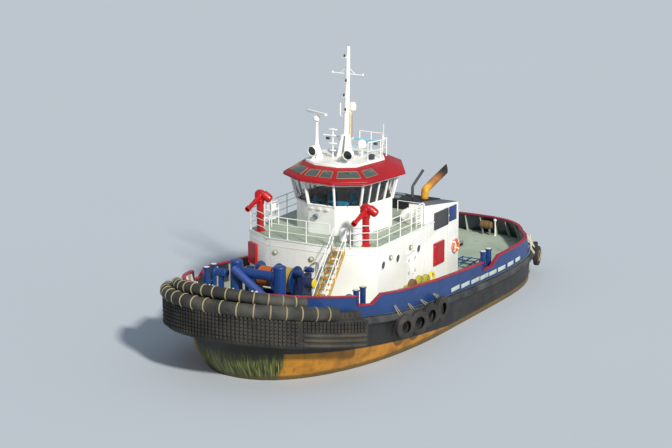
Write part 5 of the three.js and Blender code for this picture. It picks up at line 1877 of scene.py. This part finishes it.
@dataclass
class BoatDeckGear:
    """Casings, exhausts, monitors, canisters, lockers and racks on the boat deck, and the rolled hoses."""

    monitor_x: float = 4.29
    monitor_y: float = 2.96
    droop: float = 18.0
    exhaust_x: float = -3.75
    exhaust_y: float = 2.0
    thin_y: float = 1.29
    exhaust_end: float = -6.20
    hoses_y: float = 4.66
    hoses_z: float = 2.62

    def casings(self) -> None:
        """Dresses the casings and adds the lids on the middle one."""
        for side in Side:
            skin(f"casing_{side.word}", f"casing_{side.word}_plating", CASING_TOP, 0.015)
        skin("casing_middle", "casing_middle_plating", BLACK, 0.02)
        lids = [block((-4.25, -0.75, 5.69), (-3.95, 0.75, 5.75), 0.01)]
        lids += [block((-3.55, y - 0.2, 5.69), (-3.2, y + 0.2, 5.78), 0.02) for y in (-0.55, 0.0, 0.55)]
        place("casing_lids", GREY, lids)

    def exhausts(self) -> None:
        """Makes the exhaust pipes: a wide one, cut slantwise at its end, and a thin one a side."""
        x, walls = self.exhaust_x, {"thickness": 0.012, "offset": -1}
        for side in Side:
            y = self.exhaust_y * side.value
            bends = (x, 5.66), (x, 6.04), (-3.80, 6.16), (-3.92, 6.23), (-7.0, 7.03)
            wide = tubes([[(along, y, z) for along, z in bends]], 0.195, 28, caps=False)
            with editing(wide):
                bpy.ops.mesh.bisect(plane_co=(self.exhaust_end, y, 0), plane_no=(-0.60, 0.80 * side.value, 0),
                                    clear_outer=True)
            modify(wide, "SOLIDIFY", **walls)
            place(f"exhaust_{side.word}_pipe", SCORCHED, wide, replaces=f"exhaust_{side.word}")
            bends = (x, 5.66), (x, 6.22), (-3.78, 6.29), (-3.85, 6.34), (-4.9, 6.90)
            line = [(along, self.thin_y * side.value, z) for along, z in bends]
            thin = modify(tubes([line], 0.072, 28, caps=False), "SOLIDIFY", **walls)
            place(f"thin_exhaust_{side.word}_pipe", DARK_GREY, thin)
            collar = [(0.20, 0), (0.27, 0), (0.27, 0.03), (0.20, 0.05)]
            place(f"exhaust_{side.word}_collar", BLACK, turned(collar, (x, y, 5.69), UP, 36, closed=True))

    def monitors(self) -> None:
        """Turns the fire monitors: post, head and drooping barrel, each on its own body."""
        for side in Side:
            word, x, y = side.word, self.monitor_x, self.monitor_y * side.value
            post = [(0.25, 5.17), (0.25, 5.22), (0.18, 5.26), (0.172, 5.30), (0.172, 5.86), (0.205, 5.88),
                    (0.205, 5.95), (0.172, 5.97), (0.172, 6.50), (0.205, 6.52), (0.205, 6.61), (0.02, 6.615)]
            pillar = turned(post, (x, y, 0), UP, 36)
            place(f"monitor_pillar_{word}", RED, pillar, replaces=f"monitor_post_{word}")
            head = f"monitor_head_{word}"
            dome = [(0.02, 6.625), (0.21, 6.625), (0.22, 6.66), (0.22, 6.74), (0.19, 6.78), (0.185, 6.96),
                    (0.15, 7.06), (0.08, 7.12), (0.02, 7.13)]
            parts = [turned(dome, (x, y, 0))]
            for middle in (y - 0.20, y + 0.20):
                parts.append(block((x - 0.10, middle - 0.05, 6.70), (x + 0.14, middle + 0.05, 7.03), 0.04))
            bend = [(x - 0.04, y + 0.17 * c, 6.97 + 0.13 * s) for c, s in angles(13, 180, -15)]
            parts.append(tubes([bend], 0.158, 20))
            motor = [(0.02, 0), (0.19, 0.01), (0.215, 0.06), (0.215, 0.38), (0.19, 0.46), (0.11, 0.51),
                     (0.02, 0.52)]
            parts.append(turned(motor, (x - 0.02, y + 0.16, 7.06), (-0.18, 1.0, -0.72), 28))
            place(f"monitor_turret_{word}", RED, parts, head, head)
            tube = [(0.02, -0.10), (0.125, -0.09), (0.14, -0.02), (0.13, 0.08), (0.122, 0.40), (0.132, 0.41),
                    (0.132, 0.46), (0.118, 0.47), (0.104, 1.02), (0.136, 1.05), (0.145, 1.10), (0.145, 1.18),
                    (0.130, 1.225), (0.10, 1.225), (0.09, 1.12), (0.02, 1.11)]
            tilt, barrel = math.radians(self.droop), f"monitor_barrel_{word}"
            obj = turned(tube, (x + 0.06, y, 6.88), (math.cos(tilt), 0, -math.sin(tilt)), 28)
            place(f"monitor_tube_{word}", RED, obj, barrel, barrel)
            rim = ring((x - 0.18, y - 0.30 * side.value, 6.80), AHEAD, 0.11, 24)
            place(f"monitor_wheel_{word}", DARK_GREY, tubes([rim], 0.012, cyclic=True), head)

    def raft(self) -> None:
        """Adds the liferaft canister on its cradle, the side ladder and the casing's rail."""
        ends = [(0.02, 0.0), (0.22, 0.0), (0.29, 0.04), (0.31, 0.12), (0.31, 0.52), (0.325, 0.53),
                (0.325, 0.57), (0.31, 0.58), (0.31, 0.98), (0.29, 1.06), (0.22, 1.10), (0.02, 1.10)]
        place("raft_canister", WHITE, turned(ends, (-0.42, 2.62, 5.62), (-1, 0, 0)))
        saddle = ((2.30, BOAT_DECK), (2.94, BOAT_DECK), (2.90, 5.52), (2.78, 5.36), (2.62, 5.31),
                  (2.46, 5.36), (2.34, 5.52))
        cradle = [prism([(x, y, z) for y, z in saddle], (-0.05, 0, 0), 0.006) for x in (-0.65, -1.28)]
        place("raft_cradle", WHITE, cradle)
        lines = [[(x, 3.50, BOAT_DECK), (x, 3.50, 6.35)] for x in (0.08, -0.64)]
        lines += [[(x, 3.50, 5.32 + 0.125 * step) for x in (0.08, -0.64)] for step in range(9)]
        place("side_ladder", RAIL_WHITE, tubes(lines, 0.022))
        rail = [(-0.80, y, z) for y, z in ((3.5, BOAT_DECK), (3.5, 6.25), (2.0, 6.25), (2.0, 5.70))]
        place("casing_rail", RAIL_WHITE, tubes([rail], 0.025))

    def stores(self) -> None:
        """Adds the rack and locker to starboard, and the cabinet and canister by the stair."""
        ends, sides = (2.62, 3.30), (-3.30, -2.90)
        low, high = sides
        lines = [[(x, low, BOAT_DECK), (x, low, 6.40), (x, high, 6.40), (x, high, BOAT_DECK)] for x in ends]
        lines += [[(x, y, z) for x in ends] for z in (5.55, 5.97, 6.40) for y in sides]
        parts = [tubes(lines, 0.026)]
        parts += [block((2.62, -3.28, z), (3.30, -2.92, z + 0.02), 0.004) for z in (5.55, 5.97)]
        parts.append(block((2.70, -3.24, 5.99), (3.22, -2.96, 6.27), 0.03))
        place("starboard_rack", RAIL_WHITE, parts)
        place("starboard_locker", SHADE_WHITE, block((-0.35, -3.05, BOAT_DECK), (-0.80, -1.9, 5.95), 0.02))
        place("deck_cabinet", WHITE, block((4.34, 2.45, 5.175), (4.64, 2.85, 6.02), 0.03))
        dome = [(0.20, 0.0), (0.20, 0.03), (0.24, 0.04), (0.24, 0.48), (0.21, 0.58), (0.12, 0.66),
                (0.02, 0.68)]
        place("deck_canister", WHITE, turned(dome, (4.08, 1.65, 5.175), UP, 28))

    def hoses(self) -> None:
        """Stands rolled hoses and a yellow ring on a rack by the port bulwark."""
        rack = [block((0.30, 4.50, 2.58), (3.62, 4.80, self.hoses_z), 0.006)]
        for x in (0.35, 1.20, 2.20, 3.56):
            rack.append(block((x - 0.03, 4.52, LINES.deck(x) - 0.01), (x + 0.03, 4.58, 2.59), 0.004))
        place("hose_rack", GREY, rack)
        rolls = (1.24, 0.33, HOSE), (1.93, 0.40, HOSE), (2.66, 0.37, HOSE_DARK), (3.28, 0.30, HOSE)
        core, hose = 0.10, 0.045
        for k, (x, radius, finish) in enumerate(rolls):
            profile = [(core, -0.07)]
            for turn in range(int((radius - core) / hose)):
                edge = core + turn * hose
                profile += [(edge + 0.008, -0.09), (edge + 0.037, -0.09), (edge + hose, -0.07)]
            spot = (x, self.hoses_y, self.hoses_z + profile[-1][0])
            profile += [(radius, -side) for radius, side in reversed(profile)]
            place(f"hose_roll_{k}", finish, turned(profile, spot, ACROSS, closed=True))
        circle = [(0.26 + 0.07 * c, 0.07 * s) for c, s in angles(12)]
        place("yellow_ring", YELLOW, turned(circle, (0.62, self.hoses_y, 2.95), ACROSS, 36, closed=True))

    def build(self) -> None:
        """Builds the boat deck's gear."""
        self.casings()
        self.exhausts()
        self.monitors()
        self.raft()
        self.stores()
        self.hoses()


# Wheelhouse


@dataclass
class Wheelhouse:
    """Wheelhouse walls, glass, roof with skylights, wipers, and the room inside."""

    corners: tuple = ((3.4, 0.74), (2.7, 1.8), (0.2, 2.22), (-1.5, 1.15))
    sill: float = 6.60
    head: float = 7.88
    strip_z: float = 7.73
    lean: float = 0.28
    eaves: float = 0.62
    eaves_z: float = 8.01
    shoulder: float = -0.33
    shoulder_z: float = 8.50
    desk: float = 6.47
    chairs: tuple = (0.56, -0.56)

    def outline(self, offset: float, z: float) -> list[Vector]:
        """The wheelhouse's plan moved outward.

        Args:
            offset: How far out.
            z: Height.

        Returns:
            Corners from port bow aft, round the back and forward along starboard.
        """
        port = [Vector((x, y, 0)) for x, y in self.corners]
        full = port + [Vector((p.x, -p.y, 0)) for p in reversed(port)]
        moved = []
        for k, b in enumerate(full):
            a, c = full[k - 1], full[(k + 1) % len(full)]
            first, second = (b - a).normalized(), (c - b).normalized()
            out_first, out_second = Vector((-first.y, first.x, 0)), Vector((-second.y, second.x, 0))
            if out_first.dot(b - Vector((0.8, 0, 0))) < 0:
                out_first, out_second = -out_first, -out_second
            spot = b + (out_first + out_second) * (offset / (1 + out_first.dot(out_second)))
            moved.append(Vector((spot.x, spot.y, z)))
        return moved

    def shell(self) -> None:
        """Dresses the walls, the glass, the floor and the roof."""
        for side in ("front", "port", "starboard", "back"):
            skin(f"wheelhouse_{side}", f"wheelhouse_{side}_plating", WHITE)
        skin("wheelhouse_glass", "wheelhouse_panes", CLEAR, 0)
        skin("wheelhouse_floor", "wheelhouse_floor_plate", DARK_GREY, 0.01)
        skin("wheelhouse_roof", "wheelhouse_roof_shell", ROOF_PAINT, 0.03)

    def skylights(self) -> None:
        """Lays framed glass in the roof's sloping front and sides."""
        low, high = self.outline(self.eaves, self.eaves_z), self.outline(self.shoulder, self.shoulder_z)
        facets = [(7, 0, 0.07, 0.45), (7, 0, 0.55, 0.93), (0, 1, 0.12, 0.88), (1, 2, 0.04, 0.36),
                  (6, 7, 0.12, 0.88), (5, 6, 0.64, 0.96)]
        frames, panes = [], []
        for a, b, first, last in facets:
            quad = [between(low, high, a, b, share, rise)
                    for share, rise in ((first, 0.25), (last, 0.25), (last, 0.72), (first, 0.72))]
            normal = (quad[1] - quad[0]).cross(quad[3] - quad[0]).normalized()
            if normal.z < 0:
                normal = -normal
            panes.append(prism([p - normal * 0.01 for p in quad], normal * 0.028, 0.004))
            frames.append(tubes([[p + normal * 0.012 for p in quad]], 0.017, cyclic=True))
        place("skylight_frames", TAN, frames)
        place("skylight_panes", ROOF_GLASS, panes)

    def trims(self) -> None:
        """Adds the eaves' rim, the windows' strips and posts, and the fittings on the front."""
        rim = self.outline(self.eaves + 0.004, 7.885)
        place("eaves_rim", RED, tubes([rim], 0.016, cyclic=True))
        sill = self.outline(0.02, self.sill + 0.02)
        place("sill_strip", WHITE, tubes([sill[4:] + sill[:4]], 0.022))
        share = (self.strip_z - self.sill) / (self.head - self.sill)
        strip = self.outline(self.lean * share + 0.02, self.strip_z)
        place("window_heads", WHITE, tubes([strip[4:] + strip[:4]], 0.034))
        boxes = [block((3.38, y - 0.09, 6.40), (3.50, y + 0.09, 6.49), 0.01) for y in (-0.56, -0.12, 0.32)]
        place("window_boxes", SHADE_WHITE, boxes)
        horn = [(0.02, 0), (0.07, 0), (0.07, 0.08), (0.14, 0.12), (0.15, 0.20), (0.12, 0.22), (0.02, 0.18)]
        place("front_fitting", GREY, turned(horn, (3.40, -0.25, 6.12), (1, 0, -0.35), 24))
        low, high = self.outline(0.0, self.sill), self.outline(self.lean, self.head)
        posts = [[a.lerp(b, 0.01), a.lerp(b, 0.99)] for a, b in zip(low, high)]
        place("window_posts", WHITE, tubes(posts, 0.062, 12))

    def wipers(self) -> None:
        """Adds window wipers outside the front and side panes."""
        arms, blades = [], []
        low, high = self.outline(0.035, self.sill), self.outline(self.lean + 0.035, self.head)
        panes = ((7, 0, 0.25, 0.10), (7, 0, 0.75, 0.10), (0, 1, 0.5, 0.12), (6, 7, 0.5, -0.12),
                 (1, 2, 0.12, 0.03), (5, 6, 0.88, -0.03))
        for a, b, share, swing in panes:
            start = between(low, high, a, b, share, 0.04)
            end, tip = (between(low, high, a, b, share + swing, rise) for rise in (0.42, 0.60))
            arms.append([start, end])
            blades.append([start.lerp(end, 0.35), end.lerp(tip, 0.9)])
        place("wipers", DARK_GREY, tubes(arms + blades, 0.012))

    def inside(self) -> None:
        """Dresses the console, and models the screens, the covers and the chairs."""
        skin("console", "console_desk", UNIT, 0.02)
        desk = self.desk
        screens = [prism([(2.70, y - 0.12, desk), (2.70, y + 0.12, desk), (2.78, y + 0.12, 6.66),
                          (2.78, y - 0.12, 6.66)], (0.03, 0, 0), 0.006) for y in (-0.42, -0.14, 0.14, 0.42)]
        place("console_screens", PORTLIGHT, screens)
        covers = [prism([(2.44, low, desk), (2.44, high, desk), (2.44, high, 6.72), (2.44, low, 6.72)],
                        (0.22, 0, 0), 0.03) for low, high in ((-0.98, -0.34), (-0.10, 0.30), (0.42, 1.02))]
        place("console_covers", SEAT, covers)
        stem = [(0.24, 5.56), (0.24, 5.59), (0.06, 5.63), (0.05, 5.70), (0.05, 6.03), (0.14, 6.06),
                (0.02, 6.07)]
        stands = []
        for y in reversed(self.chairs):
            stands.append(turned(stem, (1.5, y, 0), UP, 28))
            for arm in (y - 0.29, y + 0.29):
                stands.append(block((1.36, arm - 0.03, 6.36), (1.76, arm + 0.03, 6.42), 0.015))
                stands.append(block((1.34, arm - 0.02, 6.08), (1.40, arm + 0.02, 6.38), 0.01))
        place("chair_frames", DARK_GREY, stands, replaces="helm_chairs")
        for side, y in zip(Side, self.chairs):
            self.cushion(f"{side.word}_seat", (1.27, y - 0.25, 6.07), (1.75, y + 0.25, 6.21))
            self.cushion(f"{side.word}_seat_back", (1.22, y - 0.24, 6.20), (1.34, y + 0.24, 6.86))

    def cushion(self, name: str, low: Point, high: Point) -> Object:
        """A padded cushion between two corners, swollen in its middle.

        Args:
            name: The piece's name.
            low: The corner with the least X, Y and Z.
            high: The corner across from it.

        Returns:
            The placed piece.
        """
        obj = block(low, high, 0)
        with editing(obj):
            bpy.ops.mesh.subdivide(number_cuts=3)
        modify(obj, "SUBSURF", levels=2, render_levels=2)
        return place(name, SEAT, obj, angle=80)

    def build(self) -> None:
        """Builds the wheelhouse."""
        self.shell()
        self.skylights()
        self.trims()
        self.wipers()
        self.inside()


@dataclass
class RoofGear:
    """Mast and yards, lights, radar, searchlights, domes, aerials and the roof's railing."""

    head: tuple = (0.74, 0.0, 14.12)
    foot: tuple = (1.0, 0.0, 8.63)
    tree: float = 12.74
    yard_x: float = 0.30
    yard_z: float = 9.42
    yard_end: float = 1.65
    platforms: tuple = ((13.60, 0.44), (12.35, 0.24), (11.65, 0.40), (10.9, 0.20))
    lights: tuple = ((13.62, 0.37), (12.37, 0.17), (11.67, 0.33), (10.92, 0.14))
    radar_spot: Point = (2.12, -1.0, 0.0)
    rails: tuple = ((1.35, 1.45), (0.5, 1.70), (-0.15, 1.68), (-1.0, 1.0), (-1.0, 0.35), (-1.0, -0.3))

    def pole(self, z: float) -> Vector:
        """The mast's centre line at a height."""
        share = (z - self.foot[2]) / (self.head[2] - self.foot[2])
        return Vector(self.foot).lerp(Vector(self.head), share)

    def mast(self) -> None:
        """Makes the mast with its foot, cross tree, platforms and cable tray."""
        up = Vector(self.head) - Vector(self.foot)
        top = up.length
        pole = [(0.16, 0), (0.155, 0.4), (0.138, 2.0), (0.118, 3.6), (0.085, top - 0.06), (0.05, top)]
        parts = [turned(pole, self.foot, up, 28)]
        foot = block((0.66, -0.27, ROOF - 0.002), (1.46, 0.27, 9.74), 0)
        with editing(foot, UP):
            bpy.ops.transform.resize(value=(0.42, 0.52, 1), center_override=(0.97, 0, 9.74))
        parts.append(bevel(foot, 0.012))
        x, z = self.pole(self.tree).x, self.tree
        parts.append(tubes([[(x, -0.85, z), (x, 0.85, z)]], 0.026, 12))
        parts.append(tubes([[(x, 0.0, 13.12), (x, y, 12.75)] for y in (-0.42, 0.42)], 0.016))
        for y in (-0.85, 0.85):
            parts.append(block((x - 0.05, y - 0.03, 12.72), (x + 0.05, y + 0.03, 12.82), 0.015))
        for z, reach in self.platforms:
            x = self.pole(z).x
            parts.append(block((x, -0.09, z - 0.012), (x + reach, 0.09, z + 0.012), 0.006))
            parts.append(tubes([[(x, 0, z - 0.16), (x + reach - 0.03, 0, z - 0.01)]], 0.013))
        place("mast_pole", WHITE, parts, replaces="mast")
        low = ROOF + 0.02
        tray = [(1.465, 0.02, low), (1.465, 0.14, low), (1.19, 0.10, 9.70), (1.19, 0.02, 9.70)]
        place("mast_cable_tray", GREY, prism(tray, (0.012, 0, 0), 0.003))

    def yards(self) -> None:
        """Makes the yard's two halves, their stays and their bracket on the mast."""
        x, z, low = self.yard_x, self.yard_z, self.pole(9.0)
        for side, finish in ((Side.STARBOARD, WHITE), (Side.PORT, SKY)):
            sign = side.value
            bar = tubes([[(x, y, z) for y in sorted((0.06, sign * self.yard_end))]], 0.042, 12)
            stay = tubes([[(x, sign * 0.9, z), (low.x, sign * 0.05, 9.0)]], 0.02)
            place(f"yard_{side.word}", finish, [bar, stay])
        place("yard_bracket", WHITE, block((0.26, -0.07, 9.37), (self.pole(z).x, 0.07, 9.47), 0.01))

    def lanterns(self) -> None:
        """Adds the lights on the mast and the lamps on the yard."""
        base = [(0.01, 0), (0.055, 0), (0.055, 0.03), (0.04, 0.035), (0.01, 0.036)]
        glass = [(0.01, 0.036), (0.045, 0.036), (0.048, 0.09), (0.045, 0.13), (0.01, 0.132)]
        lid = [(0.01, 0.132), (0.055, 0.132), (0.05, 0.155), (0.01, 0.17)]
        spots = [(self.pole(z).x + reach, 0, z) for z, reach in self.lights]
        lights = [turned(profile, spot, UP, 20) for spot in spots for profile in (base, lid)]
        x, y, z = self.head
        truck = [(0.01, -0.02), (0.06, -0.02), (0.06, 0.02), (0.02, 0.03), (0.015, 0.12), (0.003, 0.14)]
        lights.append(turned(truck, (x, y, z - 0.03), UP, 20))
        place("mast_lights", TAN, lights)
        place("mast_light_glasses", LENS, [turned(glass, spot, UP, 20) for spot in spots])
        lamps, lenses = [], []
        for y in (-1.35, -0.55, 0.75, 1.35):
            lamps.append(block((0.30, y - 0.11, 9.22), (0.42, y + 0.11, 9.36), 0.02))
            lamps.append(tubes([[(0.30, y, 9.42), (0.34, y, 9.34)]], 0.014))
            lenses.append(block((0.415, y - 0.09, 9.24), (0.428, y + 0.09, 9.34), 0.004))
        place("yard_lamps", STEEL, lamps)
        place("yard_lamp_glasses", LENS, lenses)

    def searchlights(self) -> None:
        """Adds the two searchlights on their yokes."""
        drum = [(0.02, -0.30), (0.12, -0.29), (0.20, -0.22), (0.235, -0.10), (0.24, 0.10), (0.262, 0.11),
                (0.262, 0.16), (0.235, 0.17), (0.22, 0.12), (0.02, 0.11)]
        lens = [(0.01, 0.115), (0.215, 0.12), (0.20, 0.145), (0.12, 0.165), (0.01, 0.172)]
        foot = [(0.20, ROOF - 0.005), (0.20, ROOF + 0.02), (0.09, ROOF + 0.05), (0.07, 8.80), (0.02, 8.81)]
        for side in Side:
            x, y, z = spot = (2.46, 0.99 * side.value, 9.10)
            ahead = (1, 0.10 * side.value, -0.10)
            place(f"searchlight_{side.word}", WHITE, turned(drum, spot, ahead, 36))
            place(f"searchlight_glass_{side.word}", LENS, turned(lens, spot, ahead, 36))
            yoke = [(x, y + 0.285 * c, z - 0.04 + 0.275 * s) for c, s in angles(13, 180, 15)]
            stand = [turned(foot, (x, y, 0), UP, 24), tubes([yoke], 0.024)]
            place(f"searchlight_yoke_{side.word}", WHITE, stand)

    def radar(self) -> None:
        """Turns the radar's post and gearbox with its fins, and dresses its scanner."""
        post = [(0.30, ROOF - 0.005), (0.30, ROOF + 0.02), (0.20, ROOF + 0.05), (0.13, 9.25), (0.085, 9.6),
                (0.07, 10.50), (0.17, 10.54), (0.19, 10.58), (0.19, 10.72), (0.16, 10.755), (0.02, 10.758)]
        place("radar_pedestal", WHITE, turned(post, self.radar_spot), replaces="radar_post")
        base = Vector((self.radar_spot[0], self.radar_spot[1], ROOF))
        fins = []
        for c, s in angles(3, 30):
            way, half = Vector((c, s, 0)), Vector((-s, c, 0)) * 0.02
            corners = (way * 0.10, way * 0.36, way * 0.12 + Vector((0, 0, 0.72)))
            fins.append(prism([base + corner - half for corner in corners], half * 2, 0.004))
        place("radar_fins", WHITE, fins)
        skin("radar_scanner", "radar_bar", RAIL_WHITE, 0.02, body="radar_scanner")

    def domes(self) -> None:
        """Adds the two domes with the post and arm that hold them, and the pipes up the mast."""
        dome = [(0.02, 0), (0.18, 0), (0.215, 0.03), (0.22, 0.16), (0.20, 0.26), (0.14, 0.34), (0.06, 0.38),
                (0.005, 0.39)]
        stem = [(0.09, ROOF), (0.09, ROOF + 0.015), (0.045, ROOF + 0.03), (0.045, 9.07), (0.10, 9.10),
                (0.02, 9.105)]
        place("low_dome", WHITE, [turned(dome, (0.66, 0.75, 9.10)), turned(stem, (0.66, 0.75, 0), UP, 24)])
        drum = [(0.02, 10.84), (0.17, 10.84), (0.2, 10.88), (0.2, 11.12), (0.17, 11.22), (0.10, 11.27),
                (0.01, 11.28)]
        arm = block((0.40, -0.05, 10.78), (0.90, 0.05, 10.84), 0.01)
        place("mast_dome", SHADE_WHITE, [turned(drum, (0.40, 0.04, 0)), arm])
        place("mast_conduit", CREAM, tubes([[(0.60, 0.06, 9.45), (0.60, 0.06, 10.8)]], 0.045, 12))
        place("mast_cable_run", ROPE_ORANGE, tubes([[(0.62, 0.15, 9.45), (0.62, 0.15, 10.7)]], 0.016, 12))

    def aerials(self) -> None:
        """Adds the aerials, the post of signal lamps, the horn, the box and the vent."""
        lines = [
            [(0.05, 1.62, ROOF + 0.6), (0.05, 1.62, 10.26)],
            [(0.93, -0.34, 10.60), (0.93, -0.34, 11.36)],
            [(0.95, 0.0, 10.62), (0.93, -0.34, 10.62)],
        ]
        place("aerials", RAIL_WHITE, tubes(lines, 0.018))
        place("tube_aerial", WHITE, tubes([[(0.93, -0.34, 10.66), (0.93, -0.34, 11.30)]], 0.035, 12))
        ball = [(0.01, 9.40), (0.05, 9.41), (0.075, 9.47), (0.075, 9.53), (0.05, 9.59), (0.01, 9.60)]
        place("aerial_ball", WHITE, turned(ball, (0.05, 1.62, 0), UP, 20))
        parts = [tubes([[(1.56, -0.40, ROOF), (1.56, -0.40, 10.12)]], 0.03, 12)]
        for z, reach in ((9.0, 0.16), (9.35, 0.2), (9.75, 0.16), (10.05, 0.22)):
            parts.append(block((1.50, -0.40 - reach, z - 0.03), (1.62, -0.40 + reach, z + 0.03), 0.012))
        place("signal_post", WHITE, parts)
        bell = [(0.02, 0), (0.05, 0.0), (0.055, 0.10), (0.03, 0.12), (0.03, 0.30), (0.06, 0.42), (0.11, 0.48),
                (0.095, 0.48), (0.02, 0.32)]
        bracket = block((1.32, 0.50, ROOF), (1.42, 0.60, 9.0), 0.01)
        place("horn", STEEL, [turned(bell, (1.30, 0.55, 9.02), (1, 0.1, 0.05), 24), bracket])
        place("roof_box", SHADE_WHITE, block((1.65, 0.25, ROOF), (1.95, 0.60, 8.95), 0.03))
        place("roof_vent", DARK_GREY, block((0.82, 1.32, ROOF), (1.10, 1.56, 8.88), 0.03))

    def build(self) -> None:
        """Builds what stands on the wheelhouse, with the roof's railing."""
        self.mast()
        self.yards()
        self.lanterns()
        self.searchlights()
        self.radar()
        self.domes()
        self.aerials()
        place("roof_rails", RAIL_WHITE, railing(self.rails, ROOF, 0.9, 2, 0.018), replaces="roof_railing")


# Aft deck and thrusters


@dataclass
class AftDeck:
    """The aft hatch's lid, air pipes, a rack, and the roll and post at the stern."""

    pipes_at: Point = (-6.9, 3.9)
    roll_at: Point = (-13.42, 0.52, 2.12)
    post_at: Point = (-13.40, 1.42, 0.0)
    rack_x: tuple = (-7.5, -6.95, -6.4)
    rack_y: tuple = (2.35, 2.85, 3.35)
    rack_height: float = 0.28

    def hatch(self) -> None:
        """Dresses the lid."""
        skin("hatch_lid", "hatch_lid_plate", GREY, body="hatch_lid")

    def air_pipes(self) -> None:
        """Adds a bent air pipe on each side."""
        x, y = self.pipes_at
        bends = (0, 0), (0, 0.5), (-0.05, 0.6), (-0.14, 0.63), (-0.22, 0.58), (-0.24, 0.48)
        pipes = []
        for side in Side:
            line = [(x + shift, y * side.value, LINES.deck(x) + rise) for shift, rise in bends]
            pipes.append(tubes([line], 0.05, 12))
        place("air_pipes", DARK_BLUE, pipes)

    def stern(self) -> None:
        """Adds the roll on its legs and the post at the stern."""
        deck = LINES.deck(-13.4)
        roll = [(0.02, 0.0), (0.15, 0.0), (0.21, 0.05), (0.22, 0.20), (0.19, 0.24), (0.22, 0.28),
                (0.22, 0.46), (0.19, 0.50), (0.21, 0.66), (0.14, 0.72), (0.02, 0.72)]
        place("stern_roll", HOSE_DARK, turned(roll, self.roll_at, ACROSS, 28))
        legs = [block((-13.50, y - 0.03, deck - 0.01), (-13.34, y + 0.03, 1.95), 0.006) for y in (0.66, 1.08)]
        place("stern_roll_legs", GREY, legs)
        post = [(0.07, deck - 0.01), (0.07, deck + 0.02), (0.035, deck + 0.03), (0.035, 2.36), (0.08, 2.38),
                (0.09, 2.44), (0.07, 2.50), (0.02, 2.51)]
        place("stern_post", WHITE, turned(post, self.post_at, UP, 24))

    def rack(self) -> None:
        """Adds the low pipe rack to port."""
        deck, (low, _, high) = LINES.deck(-7.0), self.rack_y
        top = deck + self.rack_height
        rails = [[(x, low, deck), (x, low, top), (x, high, top), (x, high, deck)] for x in self.rack_x]
        rails += [[(-7.6, y, top), (-6.3, y, top)] for y in self.rack_y]
        place("deck_rack", GEAR_BLUE, tubes(rails, 0.035, 12))

    def build(self) -> None:
        """Builds the aft deck."""
        self.hatch()
        self.air_pipes()
        self.stern()
        self.rack()


@dataclass
class Thrusters:
    """Thrusters and propellers, with the width of their rounded edges."""

    casting_edge: float = 0.01
    blade_edge: float = 0.004

    def build(self) -> None:
        """Dresses both sides' castings and blades."""
        for side in Side:
            node = f"thruster_{side.word}"
            skin(node, node + "_casting", BOTTOM, self.casting_edge, body=node)
            node = f"propeller_{side.word}"
            skin(node, node + "_blades", BRONZE, self.blade_edge, body=node)


def main() -> None:
    """Builds the scene, sub-assembly by sub-assembly."""
    logging.basicConfig(level=logging.INFO, format="%(message)s")
    surroundings = Surroundings()
    surroundings.camera()
    for part in (surroundings, Hull(), BowFenders(), SideFenders(), Foredeck(), Deckhouse(), BoatDeckGear(),
                 Wheelhouse(), RoofGear(), AftDeck(), Thrusters()):
        log.info("building %s", type(part).__name__)
        part.build()


if __name__ == "__main__":
    main()
